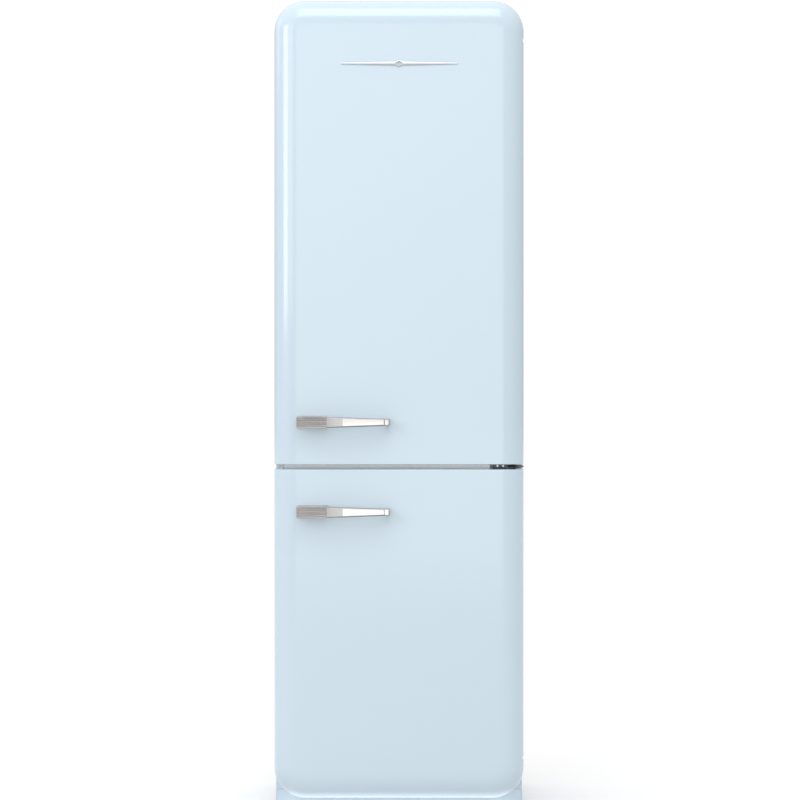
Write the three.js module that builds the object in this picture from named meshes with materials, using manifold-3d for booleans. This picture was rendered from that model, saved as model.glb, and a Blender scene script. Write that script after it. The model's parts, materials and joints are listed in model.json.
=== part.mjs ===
// A two-door refrigerator in the rounded style of the 1950s: a tall fridge compartment above a
// freezer, each behind its own thick pillow-shaped door with a chromed lever handle.
//
// Millimetres, +Z up. The origin is on the floor below the middle of the whole object. The doors
// and handles face -Y, the condenser faces +Y, and both doors hang on the +X side.

import * as THREE from 'three';
import { mergeVertices } from 'three/addons/utils/BufferGeometryUtils.js';
import Module from 'manifold-3d';

const wasm = await Module();
wasm.setup();

// ------------------------------------------------------------------ driving sizes

const WIDTH = 601; // across the doors
const HEIGHT = 1968; // floor to the top of the upper door
const DEPTH = 728; // front of the handles to the back of the condenser

const FIT = 0.3; // gap between fixed pieces that touch
const RUN = 1; // gap between pieces that move past each other
const STEEL = 1.2; // sheet of the shell, the door skins and the back panel
const LINER = 2.5; // moulded plastic lining
const TRAY_WALL = 2.5; // drawers and door bins

// Doors
const DOOR_DEPTH = 88; // face to rear, without the gasket
const DOOR_BOTTOM = 48; // floor to the underside of the lower door
const LOWER_DOOR_HEIGHT = 792;
const DOOR_GAP = 12; // between the two doors
const CORNER_RADIUS = 75; // of the doors and the cabinet, seen from the front
const PILLOW_WIDTH = 62; // how far in from its edge the door face starts to round
const PILLOW_DEPTH = 44; // how far back that rounding goes
const GASKET_WIDTH = 18;
const GASKET_DEPTH = 12; // squeezed, between a door and the cabinet
const GASKET_LAND = 6; // from the edge of the compartment opening to the gasket
const GASKET_CORNER = 20;

// Cabinet
const SHELL_INSET = 2; // the cabinet is this much inside the doors at the sides and the top
const SHELL_BOTTOM = 24; // floor to the lower edge of the shell
const CONDENSER_ROOM = 30; // behind the back panel
const FRIDGE_WALL = 46; // outside of the shell to the inside of the fridge
const FREEZER_WALL = 58;
const TOP_WALL = 50;
const BACK_WALL = 52;
const FREEZER_FLOOR = 118; // height of the freezer floor above the room floor
const PLINTH_TOP = 62;
const FLOOR_WALL = 48; // below the freezer floor
const DIVIDER_LAP = 28; // divider between the compartments, beyond the door gap on each side
const NICHE_DEPTH = 200; // compressor niche, from the back
const NICHE_HEIGHT = 265; // top of the niche above the room floor
const NICHE_WALL = 45; // insulation over and in front of the niche

// Hinges
const PIVOT_INSET = 11; // pin axis from the side of the door
const PIVOT_DEPTH = 48; // pin axis behind the door face
const PIN_RADIUS = 4;
const PIN_LENGTH = 20;
const LEAF = 4; // thickness of a hinge leaf
const LEAF_END = 9; // radius of a leaf round its pin
const HINGE_PLATE = 3;
const END_HINGE_INSET = 95; // leaf of the top or bottom hinge from the end of its door
const BUSH_RADIUS = 7;
const BUSH_LENGTH = 16;
const BUSH_FLANGE = 3;
const BUSH_BORE = 4.4;

// Middle rail
const RAIL_DEPTH = 22;
const RAIL_CAP = 7.5; // width of the moulded cap at each end
const RAIL_EDGE = 9.5; // side of the shell to the rail's pocket
const MIDDLE_PLATE_WIDTH = 60;

// Handles
const HANDLE_REACH = 50; // how far a handle stands out from the door
const HANDLE_EDGE = 55; // hub from the side of the door
const HANDLE_SPLIT = 101; // handle centre from the door gap's edge
const HUB_LENGTH = 73;
const HUB_HEIGHT = 31;
const HUB_START_REACH = 26; // at the hub's outer end
const HUB_NOSE = 14; // length of the hub's steeper nose
const HUB_NOSE_REACH = 38;
const HUB_END_REACH = 46;
const FLUTES = 4;
const FLUTE_PITCH = 6.2;
const FLUTE_DEPTH = 1.6;
const BAR_LENGTH = 150;
const BAR_CREST = 39; // from the hub to the bar's highest point
const BAR_THICKNESS = 13;
const BAR_HEIGHT = 26; // at the hub
const BAR_TIP_HEIGHT = 16;
const BAR_TIP_REACH = 40;
const HANDLE_FOOT = 10; // length of the foot that the bar's tip stands on

// Front ornament
const STAR_LENGTH = 280;
const STAR_HEIGHT = 18;
const STAR_THICKNESS = 3;
const STAR_TOP_INSET = 156; // centre of the ornament below the door top

// Inside the fridge
const BIN_REACH = 112; // door bins, behind the door liner
const BIN_CLEAR = 39.5; // each side of a bin, to the fridge wall
const RIB = 12; // width of the door liner's upright ribs
const RIB_REACH = 62;
const RIB_END = 12; // ribs stop this far short of the compartment's floor
const SHELF_SETBACK = 17; // shelves behind the door bins
const GLASS = 4;
const SHELVES = 2;
const LEDGE_REACH = 10; // shelf ledges on the fridge walls
const LEDGE = 5;
const CRISPER_HEIGHT = 186;
const CRISPER_SETBACK = 14; // crisper front behind the shelf fronts
const HOUSING_HEIGHT = 44; // control and lamp housing below the ceiling
const HOUSING_HALF = 150;
const HOUSING_DEPTH = 150;
const KNOB_RADIUS = 17;
const KNOB_DEPTH = 12;

// Inside the freezer
const DRAWER_CLEAR = 26.5; // each side of a drawer, to the freezer wall
const DRAWER_SETBACK = 44; // drawer fronts behind the front of the cabinet
const RUNNER_REACH = 36; // drawer runners on the freezer walls
const COVER_ROOM = 58; // behind the evaporator cover
const DRAWER_HEADROOM = 14;
const FREEZER_DOOR_PANEL = 20; // the freezer door's raised inner panel, behind the door
const FAN_RADIUS = 44;
const FAN_BLADES = 5;

// Underneath
const BASE_PLATE = 2;
const FOOT_RADIUS = 20;
const FOOT_INSET = 46;
const STEM_RADIUS = 5;
const ROLLER_RADIUS = 11;
const ROLLER_WIDTH = 18;
const AXLE_RADIUS = 3;
const AXLE_END = 7; // axle beyond the roller on each side

const ARC_STEPS = 10;
const WAVE_STEPS = 32;

// ------------------------------------------------------------------ planes and levels

const half = WIDTH / 2;
const doorFace = -DEPTH / 2 + HANDLE_REACH;
const doorRear = doorFace + DOOR_DEPTH;
const sealFace = doorRear + GASKET_DEPTH; // front of the cabinet
const back = DEPTH / 2 - CONDENSER_ROOM;

const lowerDoorTop = DOOR_BOTTOM + LOWER_DOOR_HEIGHT;
const upperDoorBottom = lowerDoorTop + DOOR_GAP;
const splitLevel = (lowerDoorTop + upperDoorBottom) / 2;

const shellHalf = half - SHELL_INSET;
const shellTop = HEIGHT - SHELL_INSET;
const insideShell = shellHalf - STEEL - FIT;
const linerFront = sealFace + STEEL + FIT;
const linerBack = back - BACK_WALL;

const freezerCeiling = lowerDoorTop - DIVIDER_LAP;
const fridgeFloor = upperDoorBottom + DIVIDER_LAP;
const fridgeCeiling = shellTop - TOP_WALL;
const fridgeHalf = shellHalf - FRIDGE_WALL;
const freezerHalf = shellHalf - FREEZER_WALL;

const nicheFront = back - NICHE_DEPTH;
const stepFront = nicheFront - NICHE_WALL;
const stepTop = NICHE_HEIGHT + NICHE_WALL;

const pivotX = half - PIVOT_INSET;
const pivotY = doorFace + PIVOT_DEPTH;
const topLeaf = HEIGHT - END_HINGE_INSET;
const bottomLeaf = DOOR_BOTTOM + END_HINGE_INSET;

const railHalf = shellHalf - RAIL_EDGE;
const binRear = doorRear + BIN_REACH;
const shelfFront = binRear + SHELF_SETBACK;
const binHalf = fridgeHalf - BIN_CLEAR;
const drawerHalf = freezerHalf - DRAWER_CLEAR;
const crisperTop = fridgeFloor + CRISPER_HEIGHT + 20;
const coverFace = linerBack - COVER_ROOM;
const baseTop = SHELL_BOTTOM + 4 + BASE_PLATE;

// ------------------------------------------------------------------ shapes

/** A box between two corners. */
function block(x0, x1, y0, y1, z0, z1) {
  return new THREE.BoxGeometry(x1 - x0, y1 - y0, z1 - z0)
    .translate((x0 + x1) / 2, (y0 + y1) / 2, (z0 + z1) / 2);
}

/** A rectangle with one radius for its two lower corners and another for its two upper ones. */
function outline(x0, x1, z0, z1, low, high) {
  const shape = new THREE.Shape();
  shape.moveTo(x0 + low, z0);
  shape.lineTo(x1 - low, z0);
  if (low) shape.absarc(x1 - low, z0 + low, low, -Math.PI / 2, 0);
  shape.lineTo(x1, z1 - high);
  if (high) shape.absarc(x1 - high, z1 - high, high, 0, Math.PI / 2);
  shape.lineTo(x0 + high, z1);
  if (high) shape.absarc(x0 + high, z1 - high, high, Math.PI / 2, Math.PI);
  shape.lineTo(x0, z0 + low);
  if (low) shape.absarc(x0 + low, z0 + low, low, Math.PI, Math.PI * 1.5);
  return shape;
}

function polygon(points) {
  return new THREE.Shape(points.map(([x, y]) => new THREE.Vector2(x, y)));
}

function extrude(shape, depth, options = {}) {
  return new THREE.ExtrudeGeometry(shape, {
    depth, bevelEnabled: false, curveSegments: ARC_STEPS, ...options,
  });
}

/** A shape drawn in plan, X by Y, raised from z0 to z1. */
function prismZ(shape, z0, z1) {
  return extrude(shape, z1 - z0).translate(0, 0, z0);
}

/** A shape drawn in front view, X by Z, from y0 back to y1. */
function prismY(shape, y0, y1) {
  return extrude(shape, y1 - y0).rotateX(Math.PI / 2).translate(0, y1, 0);
}

/** A shape drawn in side view, Y by Z, from x0 to x1. */
function prismX(shape, x0, x1) {
  const turn = new THREE.Matrix4().makeBasis(
    new THREE.Vector3(0, 1, 0), new THREE.Vector3(0, 0, 1), new THREE.Vector3(1, 0, 0));
  return extrude(shape, x1 - x0).applyMatrix4(turn).translate(x0, 0, 0);
}

/** A turned piece about the Z axis from [radius, height] pairs that run upwards outside. */
function turned(profile, steps = 20) {
  const points = profile.map(([r, z]) => new THREE.Vector2(r, z));
  return new THREE.LatheGeometry(points, steps).rotateX(Math.PI / 2);
}

function rod(radius, z0, z1, steps = 16) {
  return turned([[0, z0], [radius, z0], [radius, z1], [0, z1]], steps);
}

/** A closed tube along a curve. */
function tube(curve, radius, steps, sides = 4) {
  const section = new THREE.Shape();
  section.absarc(0, 0, radius, 0, Math.PI * 2);
  return new THREE.ExtrudeGeometry(section, {
    extrudePath: curve, steps, bevelEnabled: false, curveSegments: sides / 2,
  });
}

function straightTube(from, to, radius, sides = 4) {
  const curve = new THREE.LineCurve3(new THREE.Vector3(...from), new THREE.Vector3(...to));
  return tube(curve, radius, 1, sides);
}

// ------------------------------------------------------------------ cutting and joining

function solidOf(geometry) {
  const bare = geometry.index ? geometry.toNonIndexed() : geometry.clone();
  bare.deleteAttribute('normal');
  bare.deleteAttribute('uv');
  const merged = mergeVertices(bare, 1e-3);
  return new wasm.Manifold(new wasm.Mesh({
    numProp: 3,
    vertProperties: merged.attributes.position.array,
    triVerts: new Uint32Array(merged.index.array),
  }));
}

function geometryOf(solid) {
  const mesh = solid.getMesh();
  const geometry = new THREE.BufferGeometry();
  geometry.setAttribute('position', new THREE.BufferAttribute(mesh.vertProperties, 3));
  geometry.setIndex(new THREE.BufferAttribute(mesh.triVerts, 1));
  const flat = geometry.toNonIndexed();
  flat.computeVertexNormals();
  return flat;
}

function join(...pieces) {
  return geometryOf(pieces.map(solidOf).reduce((whole, piece) => whole.add(piece)));
}

function cut(piece, ...tools) {
  return geometryOf(tools.map(solidOf).reduce((left, tool) => left.subtract(tool), solidOf(piece)));
}

function common(a, b) {
  return geometryOf(solidOf(a).intersect(solidOf(b)));
}

// ------------------------------------------------------------------ finishes

const finishes = {
  enamel: new THREE.MeshStandardMaterial({ color: 0xcfe3f0, roughness: 0.25, metalness: 0 }),
  chrome: new THREE.MeshStandardMaterial({ color: 0xd8d6d4, roughness: 0.15, metalness: 1 }),
  rail: new THREE.MeshStandardMaterial({ color: 0xa7aeb5, roughness: 0.4, metalness: 0.9 }),
  hinge: new THREE.MeshStandardMaterial({ color: 0x4a5258, roughness: 0.45, metalness: 0.9 }),
  steel: new THREE.MeshStandardMaterial({ color: 0xb9bdc0, roughness: 0.5, metalness: 0.8 }),
  black: new THREE.MeshStandardMaterial({ color: 0x1d1e20, roughness: 0.5, metalness: 0 }),
  lining: new THREE.MeshStandardMaterial({ color: 0xf3f5f5, roughness: 0.35, metalness: 0 }),
  gasket: new THREE.MeshStandardMaterial({ color: 0xe4e6e6, roughness: 0.7, metalness: 0 }),
  foam: new THREE.MeshStandardMaterial({ color: 0xe9dfb8, roughness: 0.9, metalness: 0 }),
  clear: new THREE.MeshStandardMaterial({
    color: 0xdfeef4, roughness: 0.1, metalness: 0, transparent: true, opacity: 0.4,
  }),
  glass: new THREE.MeshStandardMaterial({
    color: 0xd5ebe4, roughness: 0.05, metalness: 0, transparent: true, opacity: 0.3,
  }),
  foil: new THREE.MeshStandardMaterial({ color: 0xd0d2d4, roughness: 0.4, metalness: 1 }),
};

const refrigerator = new THREE.Group();
refrigerator.name = 'refrigerator';

function add(name, finish, geometry) {
  const mesh = new THREE.Mesh(geometry, finishes[finish]);
  mesh.name = name;
  refrigerator.add(mesh);
  return mesh;
}

// ------------------------------------------------------------------ cabinet

/** The cabinet's outline, drawn in by some distance, with its flat bottom at a given height. */
function cabinetOutline(inset, bottom) {
  const side = shellHalf - inset;
  return outline(-side, side, bottom, shellTop - inset, 0, CORNER_RADIUS - inset);
}

/** Side view of the freezer's inside, grown by a wall: it steps up over the compressor niche. */
function freezerProfile(grow, y0) {
  return polygon([
    [y0, FREEZER_FLOOR - grow],
    [stepFront + grow, FREEZER_FLOOR - grow],
    [stepFront + grow, stepTop - grow],
    [linerBack + grow, stepTop - grow],
    [linerBack + grow, freezerCeiling + grow],
    [y0, freezerCeiling + grow],
  ]);
}

function freezerRoom(grow, y0) {
  return prismX(freezerProfile(grow, y0), -freezerHalf - grow, freezerHalf + grow);
}

function fridgeRoom(grow, y0) {
  return block(-fridgeHalf - grow, fridgeHalf + grow, y0, linerBack + grow,
    fridgeFloor - grow, fridgeCeiling + grow);
}

function addShell() {
  const wrap = prismY(cabinetOutline(0, SHELL_BOTTOM), sealFace, back);
  const hollow = prismY(cabinetOutline(STEEL, SHELL_BOTTOM - 10), sealFace + STEEL, back + 10);
  const mouth = [sealFace - 5, sealFace + 5];
  add('cabinet_shell', 'enamel', cut(wrap, hollow,
    block(-fridgeHalf, fridgeHalf, ...mouth, fridgeFloor - 1, fridgeCeiling),
    block(-freezerHalf, freezerHalf, ...mouth, FREEZER_FLOOR, freezerCeiling + 1),
    block(-railHalf, railHalf, ...mouth, freezerCeiling, fridgeFloor),
    block(-insideShell, insideShell, ...mouth, 0, PLINTH_TOP)));
  const panel = prismY(cabinetOutline(STEEL + FIT, NICHE_HEIGHT), back - STEEL, back);
  add('back_panel', 'steel', panel);
}

function addFoam() {
  const front = sealFace + STEEL + FIT;
  const fill = prismY(cabinetOutline(STEEL + FIT, FREEZER_FLOOR - FLOOR_WALL),
    front, back - STEEL - FIT);
  const railPocket = block(-insideShell, insideShell, front - 1, sealFace + RAIL_DEPTH + FIT,
    freezerCeiling + LINER + FIT, fridgeFloor - LINER - FIT);
  const niche = block(-half, half, nicheFront, back + 1, 0, NICHE_HEIGHT);
  add('cabinet_foam', 'foam', cut(fill, niche, railPocket,
    fridgeRoom(LINER + FIT, front - 1), freezerRoom(LINER + FIT, front - 1)));
}

/** Heights of the undersides of the glass shelves and the bottle rack, bottom one first. */
function shelfLevels() {
  const levels = SHELVES + 1;
  const pitch = (fridgeCeiling - HOUSING_HEIGHT - crisperTop) / (levels + 0.35);
  return Array.from({ length: levels }, (_, i) => crisperTop + pitch * (i + 1));
}

/** A pair of ledges on the side walls, with their tops at one height. */
function ledges(wallHalf, reach, thick, y0, y1, top) {
  return [-1, 1].map((side) => {
    const edges = [side * (wallHalf + 1), side * (wallHalf - reach)].sort((a, b) => a - b);
    return block(...edges, y0, y1, top - thick, top);
  });
}

function addFridgeLiner() {
  const shell = cut(fridgeRoom(LINER, linerFront), fridgeRoom(0, linerFront - 5));
  const supports = [crisperTop, ...shelfLevels()].flatMap((level) =>
    ledges(fridgeHalf, LEDGE_REACH, LEDGE, shelfFront + 10, linerBack - 6, level - FIT));
  add('fridge_liner', 'lining', join(shell, ...supports));
}

/** Heights of the runner tops for the upper freezer drawers. */
function runnerLevels() {
  const pitch = (freezerCeiling - stepTop) / 2;
  return [stepTop + 6, stepTop + 6 + pitch];
}

function addFreezerLiner() {
  const shell = cut(freezerRoom(LINER, linerFront), freezerRoom(0, linerFront - 5));
  const runners = runnerLevels().flatMap((level) =>
    ledges(freezerHalf, RUNNER_REACH, LEDGE, sealFace + DRAWER_SETBACK, coverFace - 2, level));
  add('freezer_liner', 'lining', join(shell, ...runners));
}

function addRail() {
  const low = freezerCeiling + LINER + 2 * FIT;
  const high = fridgeFloor - LINER - 2 * FIT;
  const plateLeft = railHalf - FIT - MIDDLE_PLATE_WIDTH;
  const rear = sealFace + RAIL_DEPTH;
  const leftEnd = -railHalf + FIT + RAIL_CAP;
  const rightEnd = plateLeft - FIT - RAIL_CAP;
  const wall = 1.5;
  const channel = cut(block(leftEnd + FIT, rightEnd - FIT, sealFace, rear, low, high),
    block(leftEnd - 5, rightEnd + 5, sealFace + wall, rear + 5, low + wall, high - wall));
  add('mid_rail', 'rail', channel);
  const pads = [['mid_rail_cap_left', leftEnd - RAIL_CAP], ['mid_rail_cap_right', rightEnd]];
  pads.forEach(([name, x]) => {
    add(name, 'lining', block(x, x + RAIL_CAP, sealFace - 0.5, rear, low, high));
  });
}

// ------------------------------------------------------------------ underneath

const feet = [-1, 1].map((side) => ({
  name: side < 0 ? 'foot_left' : 'foot_right',
  x: side * (shellHalf - FOOT_INSET),
  y: sealFace + FOOT_INSET,
}));

const rollers = [-1, 1].map((side) => ({
  name: side < 0 ? 'roller_left' : 'roller_right',
  x: side * (shellHalf - FOOT_INSET),
  y: back - FOOT_INSET,
}));

function addBase() {
  const side = insideShell;
  const y0 = sealFace + RAIL_DEPTH + 4;
  const y1 = back - STEEL - FIT;
  const low = baseTop - BASE_PLATE;
  const upstand = FREEZER_FLOOR - FLOOR_WALL - FIT - 4;
  const inner = side - BASE_PLATE;
  const channel = polygon([
    [-side, low], [side, low], [side, upstand], [inner, upstand],
    [inner, baseTop], [-inner, baseTop], [-inner, upstand], [-side, upstand],
  ]);
  const pieces = [
    prismY(channel, y0, y1),
    block(-inner - 1, inner + 1, nicheFront - 40, nicheFront - 38, baseTop - 1, upstand - 4),
  ];
  const ear = 2.5;
  rollers.forEach(({ x, y }) => {
    [-1, 1].forEach((end) => {
      const near = x + end * (ROLLER_WIDTH / 2 + RUN);
      const edges = [near, near + end * ear].sort((a, b) => a - b);
      pieces.push(block(...edges, y - 9, y + 9, 4, baseTop - 1));
    });
  });
  const holes = feet.map(({ x, y }) => rod(STEM_RADIUS + RUN, 0, baseTop + 5).translate(x, y, 0));
  rollers.forEach(({ x, y }) => {
    const bore = rod(AXLE_RADIUS + 0.5, -30, 30).rotateY(Math.PI / 2);
    holes.push(bore.translate(x, y, ROLLER_RADIUS));
  });
  add('base_frame', 'steel', cut(join(...pieces), ...holes));

  const c = polygon([
    [sealFace, SHELL_BOTTOM], [sealFace + RAIL_DEPTH, SHELL_BOTTOM],
    [sealFace + RAIL_DEPTH, SHELL_BOTTOM + 1.5], [sealFace + 1.5, SHELL_BOTTOM + 1.5],
    [sealFace + 1.5, PLINTH_TOP - FIT - 1.5], [sealFace + RAIL_DEPTH, PLINTH_TOP - FIT - 1.5],
    [sealFace + RAIL_DEPTH, PLINTH_TOP - FIT], [sealFace, PLINTH_TOP - FIT],
  ]);
  add('plinth', 'enamel', prismX(c, -insideShell + FIT, insideShell - FIT));
}

function addFeet() {
  const stemTop = FREEZER_FLOOR - FLOOR_WALL - 8;
  feet.forEach(({ name, x, y }) => {
    add(name, 'black', turned([
      [0, 0], [FOOT_RADIUS - 2, 0], [FOOT_RADIUS, 2], [FOOT_RADIUS, 9], [9, 13],
      [STEM_RADIUS, 13], [STEM_RADIUS, stemTop], [0, stemTop],
    ])).position.set(x, y, 0);
  });
  const w = ROLLER_WIDTH / 2;
  rollers.forEach(({ name, x, y }) => {
    const wheel = turned([
      [0, -w - AXLE_END], [AXLE_RADIUS, -w - AXLE_END], [AXLE_RADIUS, -w],
      [ROLLER_RADIUS, -w], [ROLLER_RADIUS, w], [AXLE_RADIUS, w],
      [AXLE_RADIUS, w + AXLE_END], [0, w + AXLE_END],
    ]).rotateY(Math.PI / 2);
    add(name, 'black', wheel).position.set(x, y, ROLLER_RADIUS);
  });
}

function addMachinery() {
  const middle = (nicheFront + back) / 2;
  const pot = turned([
    [0, 14], [58, 14], [74, 26], [79, 62], [79, 112], [72, 150], [48, 174], [18, 184], [0, 184],
  ], 24);
  const saddle = block(-105, 105, -62, 62, 8, 16);
  const bolts = [[-90, -50], [90, -50], [-90, 50], [90, 50]].map(([x, y]) =>
    rod(9, 0, 9, 10).translate(x, y, 0));
  add('compressor', 'black', join(pot, saddle, ...bolts))
    .position.set(-half / 4, middle, baseTop + FIT);

  const potTop = baseTop + FIT + 184;
  add('drip_tray', 'lining', cut(block(-110, 110, -78, 78, 0, 28),
    block(-107, 107, -75, 75, 3, 40))).position.set(-half / 4, middle, potTop + FIT);

  const spread = fridgeHalf - 30;
  const tubeRadius = 3;
  const y = back + CONDENSER_ROOM / 2;
  const pitch = 90;
  const low = NICHE_HEIGHT + 140;
  const passes = Math.floor((shellTop - 130 - low) / pitch);
  const high = low + (passes - 1) * pitch;
  const parts = [];
  for (let i = 0; i < passes; i += 1) {
    const z = low + i * pitch;
    parts.push(straightTube([-spread, y, z], [spread, y, z], tubeRadius));
    if (i === passes - 1) break;
    const side = i % 2 ? -1 : 1;
    const centre = new THREE.Vector3(side * (spread - 0.5), y, z + pitch / 2);
    const bend = new THREE.CatmullRomCurve3(Array.from({ length: 7 }, (_, k) => {
      const turn = Math.PI * (k / 6 - 0.5);
      return new THREE.Vector3(centre.x + side * Math.cos(turn) * 36, y,
        centre.z + Math.sin(turn) * pitch / 2);
    }));
    parts.push(tube(bend, tubeRadius, 6));
  }
  [-1, 1].forEach((side) => {
    const x = side * spread * 0.7;
    parts.push(block(x - 7, x + 7, y + 1, y + 5, low - 12, high + 12));
    [low - 12, high - 8].forEach((z) => {
      parts.push(block(x - 10, x + 10, back + FIT, DEPTH / 2, z, z + 20));
    });
  });
  add('condenser', 'black', join(...parts));

  const inlet = block(0, 46, back + FIT, back + 16, 0, 34);
  const socket = block(9, 37, back + 5, back + 20, 7, 27);
  add('power_inlet', 'black', cut(inlet, socket)).position.set(half - 110, 0, NICHE_HEIGHT + 30);
}

// ------------------------------------------------------------------ inside the fridge

function addShelves() {
  const [rackLevel, ...glassLevels] = shelfLevels();
  const glassHalf = fridgeHalf - 2;
  const glassBack = linerBack - 26;
  glassLevels.forEach((level, i) => {
    const lip = 9;
    const top = level + GLASS;
    add(`shelf_glass_${i + 1}`, 'glass',
      block(-glassHalf, glassHalf, shelfFront + 4, glassBack, level, top));
    const section = polygon([
      [shelfFront, level - 6], [shelfFront + lip, level - 6], [shelfFront + lip, level - FIT],
      [shelfFront + 4 - FIT, level - FIT], [shelfFront + 4 - FIT, top + FIT],
      [shelfFront + lip, top + FIT], [shelfFront + lip, top + 3], [shelfFront, top + 3],
    ]);
    add(`shelf_trim_${i + 1}`, 'chrome', prismX(section, -glassHalf, glassHalf));
  });
  add('crisper_cover', 'glass',
    block(-glassHalf, glassHalf, shelfFront, glassBack, crisperTop, crisperTop + GLASS));
  addBottleRack(rackLevel, glassHalf, glassBack);
}

/** A chromed wire rack: wavy cross wires carry straight wires that cradle bottles on their sides. */
function addBottleRack(level, rackHalf, rackBack) {
  const wire = 2.5;
  const wave = 11;
  const bottles = 4;
  const middle = level + wave + wire;
  const run = rackHalf - 12;
  const height = (x) => middle - wave * Math.cos((x / run) * bottles * Math.PI);
  const parts = [];
  [shelfFront + 30, rackBack - 40].forEach((y) => {
    const points = Array.from({ length: WAVE_STEPS + 1 }, (_, i) => {
      const x = -run + (2 * run * i) / WAVE_STEPS;
      return new THREE.Vector3(x, y, height(x));
    });
    parts.push(tube(new THREE.CatmullRomCurve3(points), wire, WAVE_STEPS));
  });
  const lanes = 2 * bottles;
  for (let i = 0; i <= lanes * 2; i += 1) {
    const x = -run + (i * run) / lanes;
    const z = height(x);
    const inside = Math.min(Math.max(x, -run + wire), run - wire);
    parts.push(straightTube([inside, shelfFront + 6, z], [inside, rackBack, z], wire));
  }
  const restZ = level + wire;
  [-1, 1].forEach((side) => {
    const x = side * (rackHalf - wire);
    parts.push(straightTube([x, shelfFront + 6, restZ], [x, rackBack, restZ], wire));
    [shelfFront + 30, rackBack - 40].forEach((y) => {
      const end = [side * (run - 2), y, height(run)];
      parts.push(straightTube([x, y, restZ], end, wire));
    });
  });
  add('bottle_rack', 'chrome', join(...parts));
}

function addControls() {
  const y0 = shelfFront;
  const y1 = y0 + HOUSING_DEPTH;
  const top = fridgeCeiling - FIT;
  const bottom = top - HOUSING_HEIGHT;
  const lens = { x0: -HOUSING_HALF + 16, x1: 60, y0: y0 + 16, y1: y1 - 16, deep: 8 };
  const knobX = HOUSING_HALF - 42;
  const knobZ = bottom + HOUSING_HEIGHT / 2;
  const pocket = block(lens.x0, lens.x1, lens.y0, lens.y1, bottom - 1, bottom + lens.deep);
  const spindleHole = rod(3.6, -14, 14).rotateX(Math.PI / 2).translate(knobX, y0, knobZ);
  const side = prismX(polygon([
    [y0 + 6, bottom], [y1, bottom], [y1, top], [y0, top], [y0, bottom + 6],
  ]), -HOUSING_HALF, HOUSING_HALF);
  add('control_housing', 'lining', cut(side, pocket, spindleHole));
  add('lamp_lens', 'clear', block(lens.x0 + FIT, lens.x1 - FIT, lens.y0 + FIT, lens.y1 - FIT,
    bottom + 1, bottom + lens.deep - FIT));

  const grip = KNOB_DEPTH;
  const dial = join(
    turned([[0, 0], [KNOB_RADIUS, 0], [KNOB_RADIUS, 5], [KNOB_RADIUS - 2, 7], [0, 7]], 24),
    rod(3, -10, 3),
    block(-3, 3, -KNOB_RADIUS + 3, KNOB_RADIUS - 3, 6, grip),
  ).rotateX(Math.PI / 2);
  add('thermostat_knob', 'lining', dial).position.set(knobX, y0 - RUN, knobZ);

  const duct = block(-85, 85, linerBack - 16, linerBack - FIT, crisperTop + 20, top - 60);
  const vents = shelfLevels().map((level) =>
    block(-60, 60, linerBack - 20, linerBack - 8, level + 30, level + 38));
  add('air_duct', 'lining', cut(duct, ...vents));
}

/** An open tray with a floor, four walls and a thicker front, its low front corner at the origin. */
function tray(halfWidth, depth, height, frontWall) {
  return cut(block(-halfWidth, halfWidth, 0, depth, 0, height),
    block(-halfWidth + TRAY_WALL, halfWidth - TRAY_WALL, frontWall, depth - TRAY_WALL,
      TRAY_WALL, height + 5));
}

function addCrisper() {
  const depth = linerBack - 26 - shelfFront - CRISPER_SETBACK;
  const width = fridgeHalf - 20;
  const body = tray(width, depth, CRISPER_HEIGHT, 6);
  const grip = block(-80, 80, -1, 3.5, CRISPER_HEIGHT - 34, CRISPER_HEIGHT - 12);
  add('crisper_drawer', 'clear', cut(body, grip))
    .position.set(0, shelfFront + CRISPER_SETBACK, fridgeFloor + RUN);
}

// ------------------------------------------------------------------ inside the freezer

function addFreezerDrawers() {
  const y0 = sealFace + DRAWER_SETBACK;
  const [lowRunner, highRunner] = runnerLevels();
  const pitch = highRunner - lowRunner;
  const drawers = [
    { z: FREEZER_FLOOR + RUN, depth: stepFront - 10 - y0, height: stepTop - 22 - FREEZER_FLOOR },
    { z: lowRunner + RUN, depth: coverFace - 10 - y0, height: pitch - LEDGE - DRAWER_HEADROOM },
    { z: highRunner + RUN, depth: coverFace - 10 - y0, height: pitch - LEDGE - DRAWER_HEADROOM },
  ];
  drawers.forEach(({ z, depth, height }, i) => {
    const body = tray(drawerHalf, depth, height, 8);
    const grip = block(-90, 90, -1, 5, height - 40, height - 14);
    add(`freezer_drawer_${i + 1}`, 'clear', cut(body, grip)).position.set(0, y0, z);
  });
}

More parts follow.
